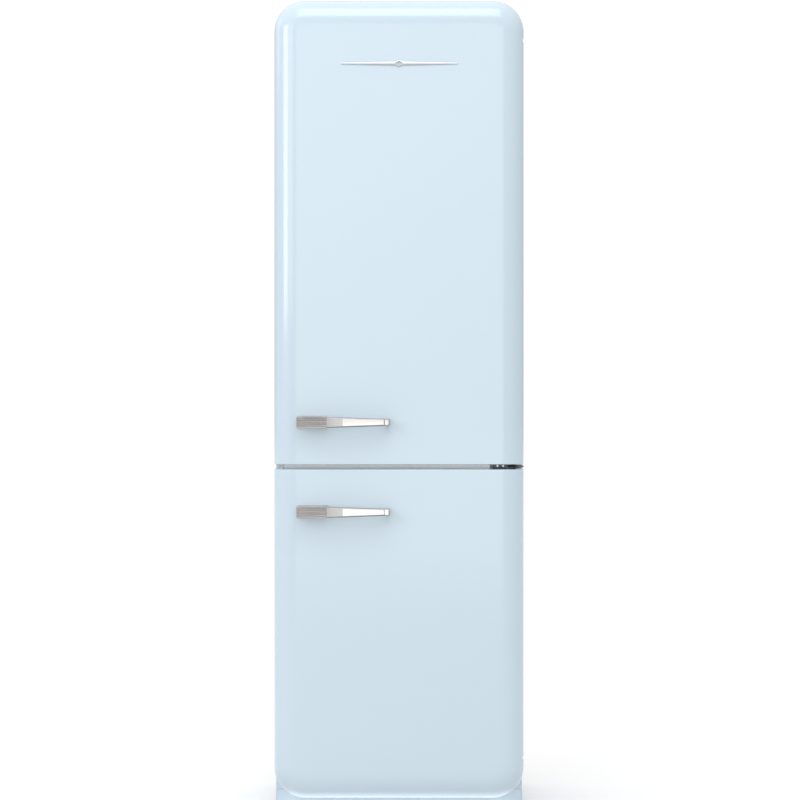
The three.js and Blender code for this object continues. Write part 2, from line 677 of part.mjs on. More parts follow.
function addEvaporator() {
  const rear = coverFace + LINER;
  const fanZ = freezerCeiling - FAN_RADIUS - 22;
  const boss = 18;
  const plate = block(-freezerHalf + FIT, freezerHalf - FIT, coverFace, rear,
    stepTop + FIT, freezerCeiling - FIT);
  const mount = rod(17, -boss - 1, 0).rotateX(Math.PI / 2).translate(0, rear, fanZ)
    .translate(0, -1, 0);
  const slots = [];
  for (let i = -3; i <= 3; i += 1) {
    const wide = Math.sqrt(FAN_RADIUS ** 2 - (i * 12) ** 2) + 14;
    if (i) slots.push(block(-wide, wide, coverFace - 1, rear + 0.5, fanZ + i * 12, fanZ + i * 12 + 4));
  }
  const intake = block(-150, 150, coverFace - 1, rear + 1, stepTop + 8, stepTop + 16);
  const bore = rod(3.6, -10, 10).rotateX(Math.PI / 2).translate(0, rear + boss, fanZ);
  add('evaporator_cover', 'lining', cut(join(cut(plate, ...slots, intake), mount), bore));

  const blade = (i) => block(10, FAN_RADIUS, -1, 1, -11, 11).rotateX(0.6)
    .rotateZ((i * 2 * Math.PI) / FAN_BLADES);
  const blades = Array.from({ length: FAN_BLADES }, (_, i) => blade(i));
  const rotor = join(rod(13, -7, 7), rod(3, 5, 15), ...blades).rotateX(Math.PI / 2);
  add('fan_rotor', 'black', rotor).position.set(0, rear + boss + 11, fanZ);

  const fins = 14;
  const finPitch = 24;
  const low = stepTop + 26;
  const high = Math.min(low + 200, fanZ - FAN_RADIUS - 8);
  const core = linerBack - FIT - 18;
  const comb = [];
  for (let i = 0; i < fins; i += 1) {
    const x = (i - fins / 2) * finPitch;
    comb.push([x, core - 20], [x + 8, core - 20], [x + 8, core], [x + finPitch, core]);
  }
  comb.push([fins * finPitch / 2, linerBack - FIT], [-fins * finPitch / 2, linerBack - FIT]);
  add('evaporator', 'foil', prismZ(polygon(comb), low, high));
}

// ------------------------------------------------------------------ doors

/** The space inside a door's outline, drawn in by some distance and cut flat at the door gap. */
function doorBody(door, inset, rear) {
  const side = half - inset;
  const wide = PILLOW_WIDTH - inset;
  const deep = PILLOW_DEPTH - inset;
  const radius = CORNER_RADIUS - inset;
  const beyond = 200;
  const z0 = door.rounded > 0 ? door.low - beyond : door.low + inset;
  const z1 = door.rounded > 0 ? door.high - inset : door.high + beyond;
  const pillow = extrude(outline(-side, side, z0, z1, radius, radius), DOOR_DEPTH, {
    bevelEnabled: true, bevelThickness: deep, bevelSize: wide, bevelOffset: -wide,
    bevelSegments: 7,
  }).rotateX(Math.PI / 2).translate(0, doorFace + inset + deep + DOOR_DEPTH, 0);
  return common(pillow, block(-half, half, doorFace - 1, rear, door.low + inset, door.high - inset));
}

/** Room for the leaf of a top or bottom hinge to swing in: open to the rear and to the side. */
function leafSlot(door) {
  const above = door.rounded > 0 ? 3 : BUSH_FLANGE + RUN;
  const below = door.rounded > 0 ? BUSH_FLANGE + RUN : 3;
  return block(pivotX - 14, half + 5, pivotY - 18, sealFace,
    door.leaf - LEAF / 2 - below, door.leaf + LEAF / 2 + above);
}

/** The level where each bush's flange meets the door, and which way its sleeve points. */
function bushSeats(door) {
  const split = door.rounded > 0
    ? { name: `${door.name}_bush_bottom`, z: door.low, way: 1 }
    : { name: `${door.name}_bush_top`, z: door.high, way: -1 };
  const end = door.rounded > 0
    ? { name: `${door.name}_bush_top`, z: door.leaf - LEAF / 2 - BUSH_FLANGE - RUN, way: -1 }
    : { name: `${door.name}_bush_bottom`, z: door.leaf + LEAF / 2 + BUSH_FLANGE + RUN, way: 1 };
  return [split, end];
}

function bushHole({ z, way }, radius) {
  const ends = [z - way * 3, z + way * (BUSH_LENGTH + PIN_LENGTH / 2)].sort((a, b) => a - b);
  return rod(radius, ...ends).translate(pivotX, pivotY, 0);
}

function addDoor(door, innerParts) {
  const whole = doorBody(door, 0, doorRear);
  const hollow = doorBody(door, STEEL, doorRear + 5);
  const slot = leafSlot(door);
  const holes = bushSeats(door).map((seat) => bushHole(seat, BUSH_RADIUS + FIT));
  add(`${door.name}_skin`, 'enamel', cut(whole, hollow, slot, ...holes));
  const filling = doorBody(door, STEEL + FIT, doorRear - LINER - FIT);
  add(`${door.name}_foam`, 'foam', cut(filling, slot, ...holes));

  const edge = STEEL + FIT;
  const low = door.rounded > 0 ? 0 : CORNER_RADIUS - edge;
  const high = door.rounded > 0 ? CORNER_RADIUS - edge : 0;
  const sheet = prismY(outline(-half + edge, half - edge, door.low + edge, door.high - edge,
    low, high), doorRear - LINER, doorRear);
  add(`${door.name}_liner`, 'lining', join(cut(sheet, slot), ...innerParts));
  addGasket(door);
  addBushes(door);
  addHandle(door);
}

function addGasket(door) {
  const inner = fridgeHalf + GASKET_LAND;
  const outer = inner + GASKET_WIDTH;
  const low = door.openingLow - GASKET_LAND;
  const high = door.openingHigh + GASKET_LAND;
  const ring = outline(-outer, outer, low - GASKET_WIDTH, high + GASKET_WIDTH,
    GASKET_CORNER, GASKET_CORNER);
  const corner = GASKET_CORNER / 4;
  ring.holes.push(outline(-inner, inner, low, high, corner, corner));
  add(`${door.name}_gasket`, 'gasket', prismY(ring, doorRear + FIT, sealFace - FIT - 0.5));
}

function addBushes(door) {
  bushSeats(door).forEach(({ name, z, way }) => {
    const flange = BUSH_RADIUS + 2;
    const sleeve = turned([
      [BUSH_BORE, FIT - BUSH_FLANGE], [flange, FIT - BUSH_FLANGE], [flange, 0 - FIT],
      [BUSH_RADIUS, 0 - FIT], [BUSH_RADIUS, BUSH_LENGTH], [BUSH_BORE, BUSH_LENGTH],
      [BUSH_BORE, FIT - BUSH_FLANGE],
    ], 16);
    if (way < 0) sleeve.rotateX(Math.PI);
    add(name, 'lining', sleeve).position.set(pivotX, pivotY, z);
  });
}

// A handle is laid out from the hub's outer end along X and outwards from the door along -Y.
function addHandle(door) {
  const place = [-half + HANDLE_EDGE, doorFace, door.handleLevel];
  const crest = HUB_LENGTH + BAR_CREST;
  const tip = HUB_LENGTH + BAR_LENGTH;

  const hubPlan = polygon([
    [0, -FIT], [0, -HUB_START_REACH], [HUB_NOSE, -HUB_NOSE_REACH],
    [HUB_LENGTH, -HUB_END_REACH], [HUB_LENGTH, -FIT],
  ]);
  const hubFront = polygon([
    [0, -HUB_HEIGHT / 2 + 1.5], [HUB_LENGTH, -HUB_HEIGHT / 2],
    [HUB_LENGTH, HUB_HEIGHT / 2], [0, HUB_HEIGHT / 2 - 1.5],
  ]);
  const boss = common(prismZ(hubPlan, -HUB_HEIGHT / 2, HUB_HEIGHT / 2),
    prismY(hubFront, -HANDLE_REACH, 0));
  const slope = Math.atan2(HUB_END_REACH - HUB_NOSE_REACH, HUB_LENGTH - HUB_NOSE);
  const flutes = Array.from({ length: FLUTES }, (_, i) => {
    const z = (i - (FLUTES - 1) / 2) * FLUTE_PITCH;
    return block(-2, HUB_LENGTH, -20, FLUTE_DEPTH, z - 1.4, z + 1.4)
      .rotateZ(-slope).translate(HUB_NOSE, -HUB_NOSE_REACH, 0);
  });
  add(`${door.handle}_hub`, 'chrome', cut(boss, ...flutes)).position.set(...place);

  const start = HUB_LENGTH + FIT;
  const barPlan = polygon([
    [start, -HUB_END_REACH + BAR_THICKNESS], [start, -HUB_END_REACH], [crest, -HANDLE_REACH],
    [tip, -BAR_TIP_REACH], [tip, -FIT], [tip - HANDLE_FOOT, -FIT],
    [tip - HANDLE_FOOT - 4, -BAR_TIP_REACH + BAR_THICKNESS],
    [crest, -HANDLE_REACH + BAR_THICKNESS],
  ]);
  const barFront = polygon([
    [start, -BAR_HEIGHT / 2], [tip, -BAR_TIP_HEIGHT / 2],
    [tip, BAR_TIP_HEIGHT / 2], [start, BAR_HEIGHT / 2],
  ]);
  const blank = common(prismZ(barPlan, -BAR_HEIGHT, BAR_HEIGHT),
    prismY(barFront, -HANDLE_REACH - 5, 5));
  add(`${door.handle}_bar`, 'chrome', blank).position.set(...place);
}

/** An open door bin between the ribs, its floor at a given height. */
function addBin(name, z, height, extra = []) {
  const y0 = doorRear + FIT;
  const bin = tray(binHalf, BIN_REACH - FIT, height, TRAY_WALL).translate(0, y0, z);
  add(name, 'clear', extra.length ? extra.reduce((made, change) => change(made), bin) : bin);
}

function addUpperDoor() {
  const door = {
    name: 'upper_door', handle: 'upper_handle', rounded: 1,
    low: upperDoorBottom, high: HEIGHT, leaf: topLeaf,
    openingLow: fridgeFloor, openingHigh: fridgeCeiling,
    handleLevel: upperDoorBottom + HANDLE_SPLIT,
  };
  const ribTop = fridgeCeiling - HOUSING_HEIGHT - 16;
  const ribLow = fridgeFloor + RIB_END;
  const ribs = [-1, 1].map((side) => {
    const edges = [side * (binHalf + FIT), side * (binHalf + FIT + RIB)].sort((a, b) => a - b);
    return block(...edges, doorRear - 1, doorRear + RIB_REACH, ribLow, ribTop);
  });
  const reach = binHalf + FIT + RIB;
  const ties = [ribLow, ribTop - RIB].map((z) =>
    block(-reach, reach, doorRear - 1, doorRear + 24, z, z + RIB));
  addDoor(door, [...ribs, ...ties]);

  const star = polygon([
    [-STAR_LENGTH / 2, 0], [-STAR_HEIGHT, -STAR_HEIGHT / 7], [0, -STAR_HEIGHT / 2],
    [STAR_HEIGHT, -STAR_HEIGHT / 7], [STAR_LENGTH / 2, 0], [STAR_HEIGHT, STAR_HEIGHT / 7],
    [0, STAR_HEIGHT / 2], [-STAR_HEIGHT, STAR_HEIGHT / 7],
  ]);
  add('door_ornament', 'chrome', prismY(star, doorFace - FIT - STAR_THICKNESS, doorFace - FIT))
    .position.set(0, 0, HEIGHT - STAR_TOP_INSET);

  const first = ribLow + RIB + 4;
  const dairyHeight = 78;
  const dairyFloor = ribTop - BIN_REACH - RIB - dairyHeight - 32;
  addBin('bottle_bin', first, 124);
  addBin('middle_bin', (first + 124 + dairyFloor) / 2 - 20, 88);
  addDairyBin(dairyFloor, dairyHeight);
}

// The dairy bin's lid turns up on two pins in ears on the bin's side walls, near the door.
function addDairyBin(floor, height) {
  const axisY = doorRear + 12;
  const axisZ = floor + height + 7;
  const ear = TRAY_WALL + 2;
  const pin = 2.4;
  const ears = [-1, 1].map((side) => {
    const edges = [side * binHalf, side * (binHalf - ear)].sort((a, b) => a - b);
    return block(...edges, axisY - 7, axisY + 7, floor + height - 20, axisZ + 6);
  });
  const bore = rod(pin + 0.6, -binHalf - 5, binHalf + 5, 12).rotateY(Math.PI / 2)
    .translate(0, axisY, axisZ);
  addBin('dairy_bin', floor, height, [(bin) => cut(join(bin, ...ears), bore)]);

  const lidHalf = binHalf - ear - RUN;
  const reach = binRear - axisY;
  const section = polygon([
    [-3, -1.5], [reach + 1, -1.5], [reach + 1, -20], [reach + 4, -20], [reach + 4, 1.5], [-3, 1.5],
  ]);
  const lid = join(
    prismX(section, -lidHalf, lidHalf),
    rod(4, -lidHalf, lidHalf, 12).rotateY(Math.PI / 2),
    rod(pin, -binHalf + 0.5, binHalf - 0.5, 12).rotateY(Math.PI / 2),
  );
  add('dairy_lid', 'clear', lid).position.set(0, axisY, axisZ);
}

function addLowerDoor() {
  const door = {
    name: 'lower_door', handle: 'lower_handle', rounded: -1,
    low: DOOR_BOTTOM, high: lowerDoorTop, leaf: bottomLeaf,
    openingLow: FREEZER_FLOOR, openingHigh: freezerCeiling,
    handleLevel: lowerDoorTop - HANDLE_SPLIT,
  };
  const panelHalf = freezerHalf - 26;
  const panel = prismY(outline(-panelHalf, panelHalf, FREEZER_FLOOR + 22, freezerCeiling - 22,
    16, 16), doorRear - 1, doorRear + FREEZER_DOOR_PANEL);
  addDoor(door, [panel]);
}

// ------------------------------------------------------------------ hinges

function pinAt(z, way) {
  const ends = [z, z + way * (LEAF / 2 + PIN_LENGTH)].sort((a, b) => a - b);
  return rod(PIN_RADIUS, ...ends).translate(pivotX, pivotY, 0);
}

/** An end hinge: a plate on the front of the cabinet, a leaf in the door's slot and one pin. */
function addEndHinge(name, leaf, way) {
  const neckLeft = fridgeHalf + GASKET_LAND + GASKET_WIDTH + 4;
  const neckRight = shellHalf - 1;
  const plateFront = sealFace - FIT - HINGE_PLATE;
  const plan = new THREE.Shape();
  plan.moveTo(neckLeft, sealFace - FIT);
  plan.lineTo(neckLeft, pivotY + LEAF_END);
  plan.lineTo(pivotX - LEAF_END, pivotY);
  plan.absarc(pivotX, pivotY, LEAF_END, Math.PI, Math.PI * 2);
  plan.lineTo(neckRight, pivotY + 4);
  plan.lineTo(neckRight, sealFace - FIT);
  const plate = block(neckLeft, neckRight, plateFront, sealFace - FIT, leaf - 34, leaf + 34);
  add(name, 'hinge', join(plate, prismZ(plan, leaf - LEAF / 2, leaf + LEAF / 2),
    pinAt(leaf, way)));
}

function addMiddleHinge() {
  const plateRight = railHalf - FIT;
  const plateLeft = plateRight - MIDDLE_PLATE_WIDTH;
  const low = freezerCeiling + LINER + 2 * FIT;
  const high = fridgeFloor - LINER - 2 * FIT;
  const plate = block(plateLeft, plateRight, sealFace, sealFace + HINGE_PLATE, low, high);
  const end = PIVOT_INSET;
  const plan = new THREE.Shape();
  plan.moveTo(plateRight - 24, sealFace + 1);
  plan.lineTo(pivotX - end, pivotY);
  plan.absarc(pivotX, pivotY, end, Math.PI, Math.PI * 2);
  plan.lineTo(pivotX + end, sealFace - 14);
  plan.lineTo(plateRight, sealFace - 3);
  plan.lineTo(plateRight, sealFace + 1);
  add('middle_hinge', 'hinge', join(plate,
    prismZ(plan, splitLevel - LEAF / 2, splitLevel + LEAF / 2),
    pinAt(splitLevel, 1), pinAt(splitLevel, -1)));
}

// ------------------------------------------------------------------ assembly

addShell();
addFoam();
addFridgeLiner();
addFreezerLiner();
addRail();
addBase();
addFeet();
addMachinery();
addShelves();
addControls();
addCrisper();
addFreezerDrawers();
addEvaporator();
addUpperDoor();
addLowerDoor();
addEndHinge('top_hinge', topLeaf, -1);
addMiddleHinge();
addEndHinge('bottom_hinge', bottomLeaf, 1);

export default refrigerator;
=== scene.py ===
"""A tall refrigerator with its freezer below, in the rounded style of the 1950s.

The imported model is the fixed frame. Each sub-assembly is a class that reads its place from the
frame, models its pieces and dresses them in a finish.
"""

import json
import logging
import math
from collections.abc import Callable, Iterator, Sequence
from contextlib import contextmanager
from dataclasses import dataclass, field
from enum import Enum
from typing import Any

import bmesh
import bpy
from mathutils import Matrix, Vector


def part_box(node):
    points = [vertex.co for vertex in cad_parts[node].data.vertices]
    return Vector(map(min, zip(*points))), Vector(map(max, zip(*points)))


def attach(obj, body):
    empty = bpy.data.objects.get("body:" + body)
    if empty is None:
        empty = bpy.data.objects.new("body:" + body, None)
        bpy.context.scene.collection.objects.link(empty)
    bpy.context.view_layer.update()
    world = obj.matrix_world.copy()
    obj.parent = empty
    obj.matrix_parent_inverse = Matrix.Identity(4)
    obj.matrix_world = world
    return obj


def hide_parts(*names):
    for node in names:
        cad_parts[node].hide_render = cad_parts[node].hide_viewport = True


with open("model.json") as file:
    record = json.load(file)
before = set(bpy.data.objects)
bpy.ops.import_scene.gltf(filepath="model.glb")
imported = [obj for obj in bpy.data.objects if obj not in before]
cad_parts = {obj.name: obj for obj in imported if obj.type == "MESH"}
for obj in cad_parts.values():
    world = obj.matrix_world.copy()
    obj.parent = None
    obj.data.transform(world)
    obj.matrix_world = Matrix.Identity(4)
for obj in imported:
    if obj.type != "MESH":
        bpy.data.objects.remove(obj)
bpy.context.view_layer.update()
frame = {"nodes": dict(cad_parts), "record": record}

log = logging.getLogger("refrigerator")

Triple = tuple[float, float, float]
Piece = bpy.types.Object


# ---------------------------------------------------------------- modelling by hand


class Part(Enum):
    """What a selection picks out of a mesh."""

    VERT = "VERT"
    EDGE = "EDGE"
    FACE = "FACE"


class Axis(Enum):
    """A direction along which a round piece lies, with the turn that brings Z onto it."""

    X = (0.0, math.pi / 2, 0.0)
    Y = (math.pi / 2, 0.0, 0.0)
    Z = (0.0, 0.0, 0.0)


def activate(piece: Piece) -> None:
    """Makes one piece the only selected and the active one.

    Args:
        piece: The piece to work on.
    """
    bpy.ops.object.select_all(action="DESELECT")
    piece.select_set(True)
    bpy.context.view_layer.objects.active = piece


@contextmanager
def editing(piece: Piece) -> Iterator[None]:
    """Opens a piece in edit mode with nothing selected, and closes it afterwards.

    Args:
        piece: The piece to shape.

    Yields:
        Nothing, while the piece is open.
    """
    activate(piece)
    bpy.ops.object.mode_set(mode="EDIT")
    bpy.ops.mesh.select_mode(type="VERT")
    bpy.ops.mesh.select_all(action="DESELECT")
    yield
    bpy.ops.object.mode_set(mode="OBJECT")


def pick(piece: Piece, part: Part, test: Callable[[Any], bool]) -> None:
    """Selects the vertices, edges or faces of an open piece that pass a test, and no others.

    Args:
        piece: The piece, in edit mode.
        part: What to select.
        test: Takes a vertex, edge or face.
    """
    bpy.ops.mesh.select_mode(type=part.value)
    bpy.ops.mesh.select_all(action="DESELECT")
    mesh = bmesh.from_edit_mesh(piece.data)
    mesh.normal_update()
    items = {Part.VERT: mesh.verts, Part.EDGE: mesh.edges, Part.FACE: mesh.faces}[part]
    for item in items:
        if test(item):
            item.select_set(True)
    mesh.select_flush_mode()
    bmesh.update_edit_mesh(piece.data)


def faces_to(direction: Sequence[float]) -> Callable[[Any], bool]:
    """A test for faces that look in a direction."""
    goal = Vector(direction).normalized()
    return lambda face: face.normal.dot(goal) > 0.99


def edges_where(test: Callable[[Vector], bool]) -> Callable[[Any], bool]:
    """A test for edges with both ends in a place."""
    return lambda edge: all(test(v.co) for v in edge.verts)


def edges_along(axis: int, test: Callable[[Vector], bool] | None = None) -> Callable[[Any], bool]:
    """A test for edges that run along one axis and lie in a place.

    Args:
        axis: The axis, 0 to 2.
        test: Whether a point is in the place; every place passes without it.

    Returns:
        The test.
    """

    def passes(edge: Any) -> bool:
        """Whether an edge runs along the axis and lies in the place.

        Args:
            edge: The edge.

        Returns:
            True if it does.
        """
        run = edge.verts[1].co - edge.verts[0].co
        straight = abs(run[axis]) > 0.999 * run.length
        return straight and (test is None or all(test(v.co) for v in edge.verts))

    return passes


def near(value: float, goal: float, slack: float = 1e-5) -> bool:
    """Whether two lengths are the same."""
    return abs(value - goal) < slack


def placed(name: str, data: bpy.types.ID) -> Piece:
    """An object around its data, linked to the scene.

    Args:
        name: The object's name.
        data: Its mesh, curve, light or camera.

    Returns:
        The new object.
    """
    made = bpy.data.objects.new(name, data)
    bpy.context.scene.collection.objects.link(made)
    return made


def settle(piece: Piece) -> Piece:
    """Moves a piece's place, turn and scale into its mesh.

    Args:
        piece: The piece, which becomes the active one.

    Returns:
        The same piece.
    """
    activate(piece)
    bpy.ops.object.transform_apply(location=True, rotation=True, scale=True)
    return piece


def pick_all() -> None:
    """Selects the whole of the open piece."""
    bpy.ops.mesh.select_all(action="SELECT")


def extrude(x: float, y: float, z: float) -> None:
    """Extrudes what is picked along a way."""
    bpy.ops.mesh.extrude_region_move(TRANSFORM_OT_translate={"value": (x, y, z)})


def round_off(radius: float, segments: int) -> None:
    """Rounds the picked edges of the open piece."""
    bpy.ops.mesh.bevel(offset=radius, segments=segments, profile=0.5, affect="EDGES",
                       clamp_overlap=False)


def round_corners(piece: Piece, axis: int, radius: float, segments: int) -> Piece:
    """Rounds every edge of a piece that runs along one axis.

    Args:
        piece: The piece.
        axis: The axis, 0 to 2.
        radius: The radius of the rounding.
        segments: How finely it is divided.

    Returns:
        The same piece.
    """
    with editing(piece):
        pick(piece, Part.EDGE, edges_along(axis))
        round_off(radius, segments)
    return piece


def block(name: str, low: Sequence[float], high: Sequence[float]) -> Piece:
    """A cube primitive stretched between two corners.

    Args:
        name: The piece's name.
        low: The lowest corner.
        high: The highest corner.

    Returns:
        The new piece, with its place in its mesh.
    """
    bpy.ops.object.select_all(action="DESELECT")
    centre = [(a + b) / 2 for a, b in zip(low, high)]
    bpy.ops.mesh.primitive_cube_add(size=1, location=centre)
    piece = bpy.context.object
    piece.name = name
    piece.scale = [b - a for a, b in zip(low, high)]
    return settle(piece)


def drum(name: str, radius: float, centre: Sequence[float], length: float,
         axis: Axis = Axis.Z, sides: int = 40) -> Piece:
    """A cylinder primitive about a centre.

    Args:
        name: The piece's name.
        radius: Its radius.
        centre: Its middle.
        length: Its length along the axis.
        axis: The direction that it lies in.
        sides: How many sides it has.

    Returns:
        The new piece, with its place in its mesh.
    """
    bpy.ops.object.select_all(action="DESELECT")
    bpy.ops.mesh.primitive_cylinder_add(
        vertices=sides, radius=radius, depth=length, location=centre, rotation=axis.value)
    piece = bpy.context.object
    piece.name = name
    return settle(piece)


def modify(piece: Piece, kind: str, **settings: Any) -> None:
    """Adds a modifier and applies it.

    Args:
        piece: The piece to change.
        kind: The modifier's type.
        **settings: Its settings.
    """
    activate(piece)
    modifier = piece.modifiers.new(kind.lower(), kind)
    for key, value in settings.items():
        setattr(modifier, key, value)
    bpy.ops.object.modifier_apply(modifier=modifier.name)


def soften(piece: Piece, width: float, segments: int = 3, angle: float = 35.0) -> Piece:
    """Rounds every edge of a piece that is sharper than an angle.

    Args:
        piece: The piece.
        width: How wide the rounding is.
        segments: How finely it is divided.
        angle: Edges sharper than this many degrees are rounded.

    Returns:
        The same piece.
    """
    modify(piece, "BEVEL", width=width, segments=segments, limit_method="ANGLE",
           angle_limit=math.radians(angle), harden_normals=False, use_clamp_overlap=True)
    return piece


def combine(piece: Piece, operation: str, others: Sequence[Piece]) -> Piece:
    """Cuts or joins pieces one by one, removes them, and stops if nothing is left.

    Args:
        piece: The piece that stays.
        operation: DIFFERENCE or UNION.
        others: The pieces that are used up.

    Returns:
        The same piece.
    """
    for other in others:
        modify(piece, "BOOLEAN", operation=operation, object=other, solver="EXACT")
        bpy.data.objects.remove(other)
        if not piece.data.polygons:
            raise RuntimeError(f"{piece.name} has nothing left after a {operation}")
    return piece


def carve(piece: Piece, *tools: Piece) -> Piece:
    """Cuts tools out of a piece."""
    return combine(piece, "DIFFERENCE", tools)


def weld(piece: Piece, *others: Piece) -> Piece:
    """Joins pieces into one solid."""
    return combine(piece, "UNION", others)


def gather(name: str, pieces: Sequence[Piece]) -> Piece:
    """Puts several loose shells into one mesh.

    Args:
        name: The name of the result.
        pieces: What to put together.

    Returns:
        One piece that holds them all.
    """
    bpy.ops.object.select_all(action="DESELECT")
    for piece in pieces:
        piece.select_set(True)
    bpy.context.view_layer.objects.active = pieces[0]
    bpy.ops.object.join()
    pieces[0].name = name
    return pieces[0]


def copy_of(piece: Piece, name: str, move: Sequence[float]) -> Piece:
    """A copy with its own mesh, moved over.

    Args:
        piece: The piece to copy.
        name: The copy's name.
        move: How far it is moved.

    Returns:
        The copy, with its place in its mesh.
    """
    made = placed(name, piece.data.copy())
    made.location = move
    return settle(made)


def turned(name: str, profile: Sequence[tuple[float, float]], centre: Sequence[float],
           axis: Axis = Axis.Z, steps: int = 40) -> Piece:
    """A turned piece: a profile of [radius, height] pairs spun about its axis.

    Args:
        name: The piece's name.
        profile: Points from one end of the axis to the other.
        centre: Where the profile's origin goes.
        axis: The direction of the axis.
        steps: How many steps the spin takes.

    Returns:
        The new closed piece.
    """
    bpy.ops.object.select_all(action="DESELECT")
    bpy.ops.mesh.primitive_plane_add(size=0.001, location=(0, 0, 0))
    piece = bpy.context.object
    piece.name = name
    with editing(piece):
        pick_all()
        bpy.ops.mesh.merge(type="CENTER")
        bpy.ops.transform.translate(value=(profile[0][0], 0, profile[0][1]))
        for (r0, z0), (r1, z1) in zip(profile, profile[1:]):
            bpy.ops.mesh.extrude_vertices_move(
                TRANSFORM_OT_translate={"value": (r1 - r0, 0, z1 - z0)})
        pick_all()
        bpy.ops.mesh.spin(steps=steps, angle=2 * math.pi, center=(0, 0, 0), axis=(0, 0, 1))
        pick_all()
        bpy.ops.mesh.remove_doubles(threshold=1e-5)
        bpy.ops.mesh.normals_make_consistent(inside=False)
    piece.rotation_euler = axis.value
    piece.location = centre
    return settle(piece)


def rounded_path(points: Sequence[Sequence[float]], corner: float, steps: int = 7) -> list[Vector]:
    """The points of a line, with each corner rounded.

    Args:
        points: The line's corners.
        corner: How far before and after a corner its curve runs.
        steps: How many points each curve has.

    Returns:
        The points from end to end.
    """
    spots = [Vector(p) for p in points]
    path = [spots[0]]
    for before, middle, after in zip(spots, spots[1:], spots[2:]):
        reach = min(corner, (before - middle).length * 0.499, (after - middle).length * 0.499)
        start = middle + (before - middle).normalized() * reach
        end = middle + (after - middle).normalized() * reach
        for i in range(steps + 1 if corner else 1):
            t = i / steps if corner else 0.5
            path.append(start * (1 - t) ** 2 + middle * 2 * t * (1 - t) + end * t * t)
    path.append(spots[-1])
    return path


def pipe(name: str, points: Sequence[Sequence[float]], thickness: float, corner: float = 0.0,
         roundness: int = 3) -> Piece:
    """A round bar or tube along a line.

    Args:
        name: The piece's name.
        points: The corners of its middle line.
        thickness: Its diameter.
        corner: How far each corner's curve runs.
        roundness: How finely its section is divided.

    Returns:
        The new closed piece.
    """
    path = rounded_path(points, corner)
    line = bpy.data.curves.new(name, "CURVE")
    line.dimensions = "3D"
    line.bevel_depth = thickness / 2
    line.bevel_resolution = roundness
    line.use_fill_caps = True
    spline = line.splines.new("POLY")
    spline.points.add(len(path) - 1)
    for spot, place in zip(spline.points, path):
        spot.co = (*place, 1.0)
    activate(placed(name, line))
    bpy.ops.object.convert(target="MESH")
    piece = bpy.context.object
    with editing(piece):
        pick_all()
        bpy.ops.mesh.remove_doubles(threshold=1e-6)
        bpy.ops.mesh.normals_make_consistent(inside=False)
    return piece


def taken(node: str, name: str) -> Piece:
    """A copy of one of the frame's nodes, its loose triangles merged into clean faces.

    Args:
        node: The frame's node.
        name: The copy's name.

    Returns:
        The copy, ready to be shaped.
    """
    piece = placed(name, frame["nodes"][node].data.copy())
    activate(piece)
    if piece.data.has_custom_normals:
        bpy.ops.mesh.customdata_custom_splitnormals_clear()
    with editing(piece):
        pick_all()
        bpy.ops.mesh.remove_doubles(threshold=2e-6)
        bpy.ops.mesh.dissolve_limited(angle_limit=math.radians(0.8))
    return piece


def tub(name: str, low: Sequence[float], high: Sequence[float], wall: float,
        corner: float) -> Piece:
    """An open tub with rounded corners and walls of one thickness.

    Args:
        name: The piece's name.
        low: Its lowest corner.
        high: Its highest corner.
        wall: The thickness of its walls.
        corner: The radius of its corners.

    Returns:
        The new piece.
    """
    piece = block(name, low, high)
    top = high[2]
    with editing(piece):
        pick(piece, Part.EDGE, lambda e: not all(near(v.co.z, top) for v in e.verts))
        round_off(corner, 6)
        pick(piece, Part.FACE, faces_to((0, 0, 1)))
        bpy.ops.mesh.delete(type="FACE")
    modify(piece, "SOLIDIFY", thickness=wall, offset=-1.0, use_even_offset=True)
    return piece


def screw(name: str, place: Sequence[float], radius: float = 0.004, way: int = 1) -> Piece:
    """A pan-head screw with a cross recess, its head towards the front or the rear.

    Args:
        name: The piece's name.
        place: Where the head meets the surface.
        radius: The head's radius.
        way: 1 for a head that faces the front, -1 for the rear.

    Returns:
        The new piece.
    """
    profile = [(0, -0.001), (radius, -0.001), (radius, 0.0006), (radius * 0.86, 0.0014),
               (radius * 0.5, 0.0019), (0, 0.0021)]
    head = turned(name, [(r, way * h) for r, h in profile], place, Axis.Y, 28)
    x, y, z = place
    near_y, far_y = sorted((y - way * 0.004, y - way * 0.0011))
    for wide, tall in ((0.62, 0.13), (0.13, 0.62)):
        carve(head, block("recess", (x - wide * radius, near_y, z - tall * radius),
                          (x + wide * radius, far_y, z + tall * radius)))
    return head


# ---------------------------------------------------------------- shader graphs


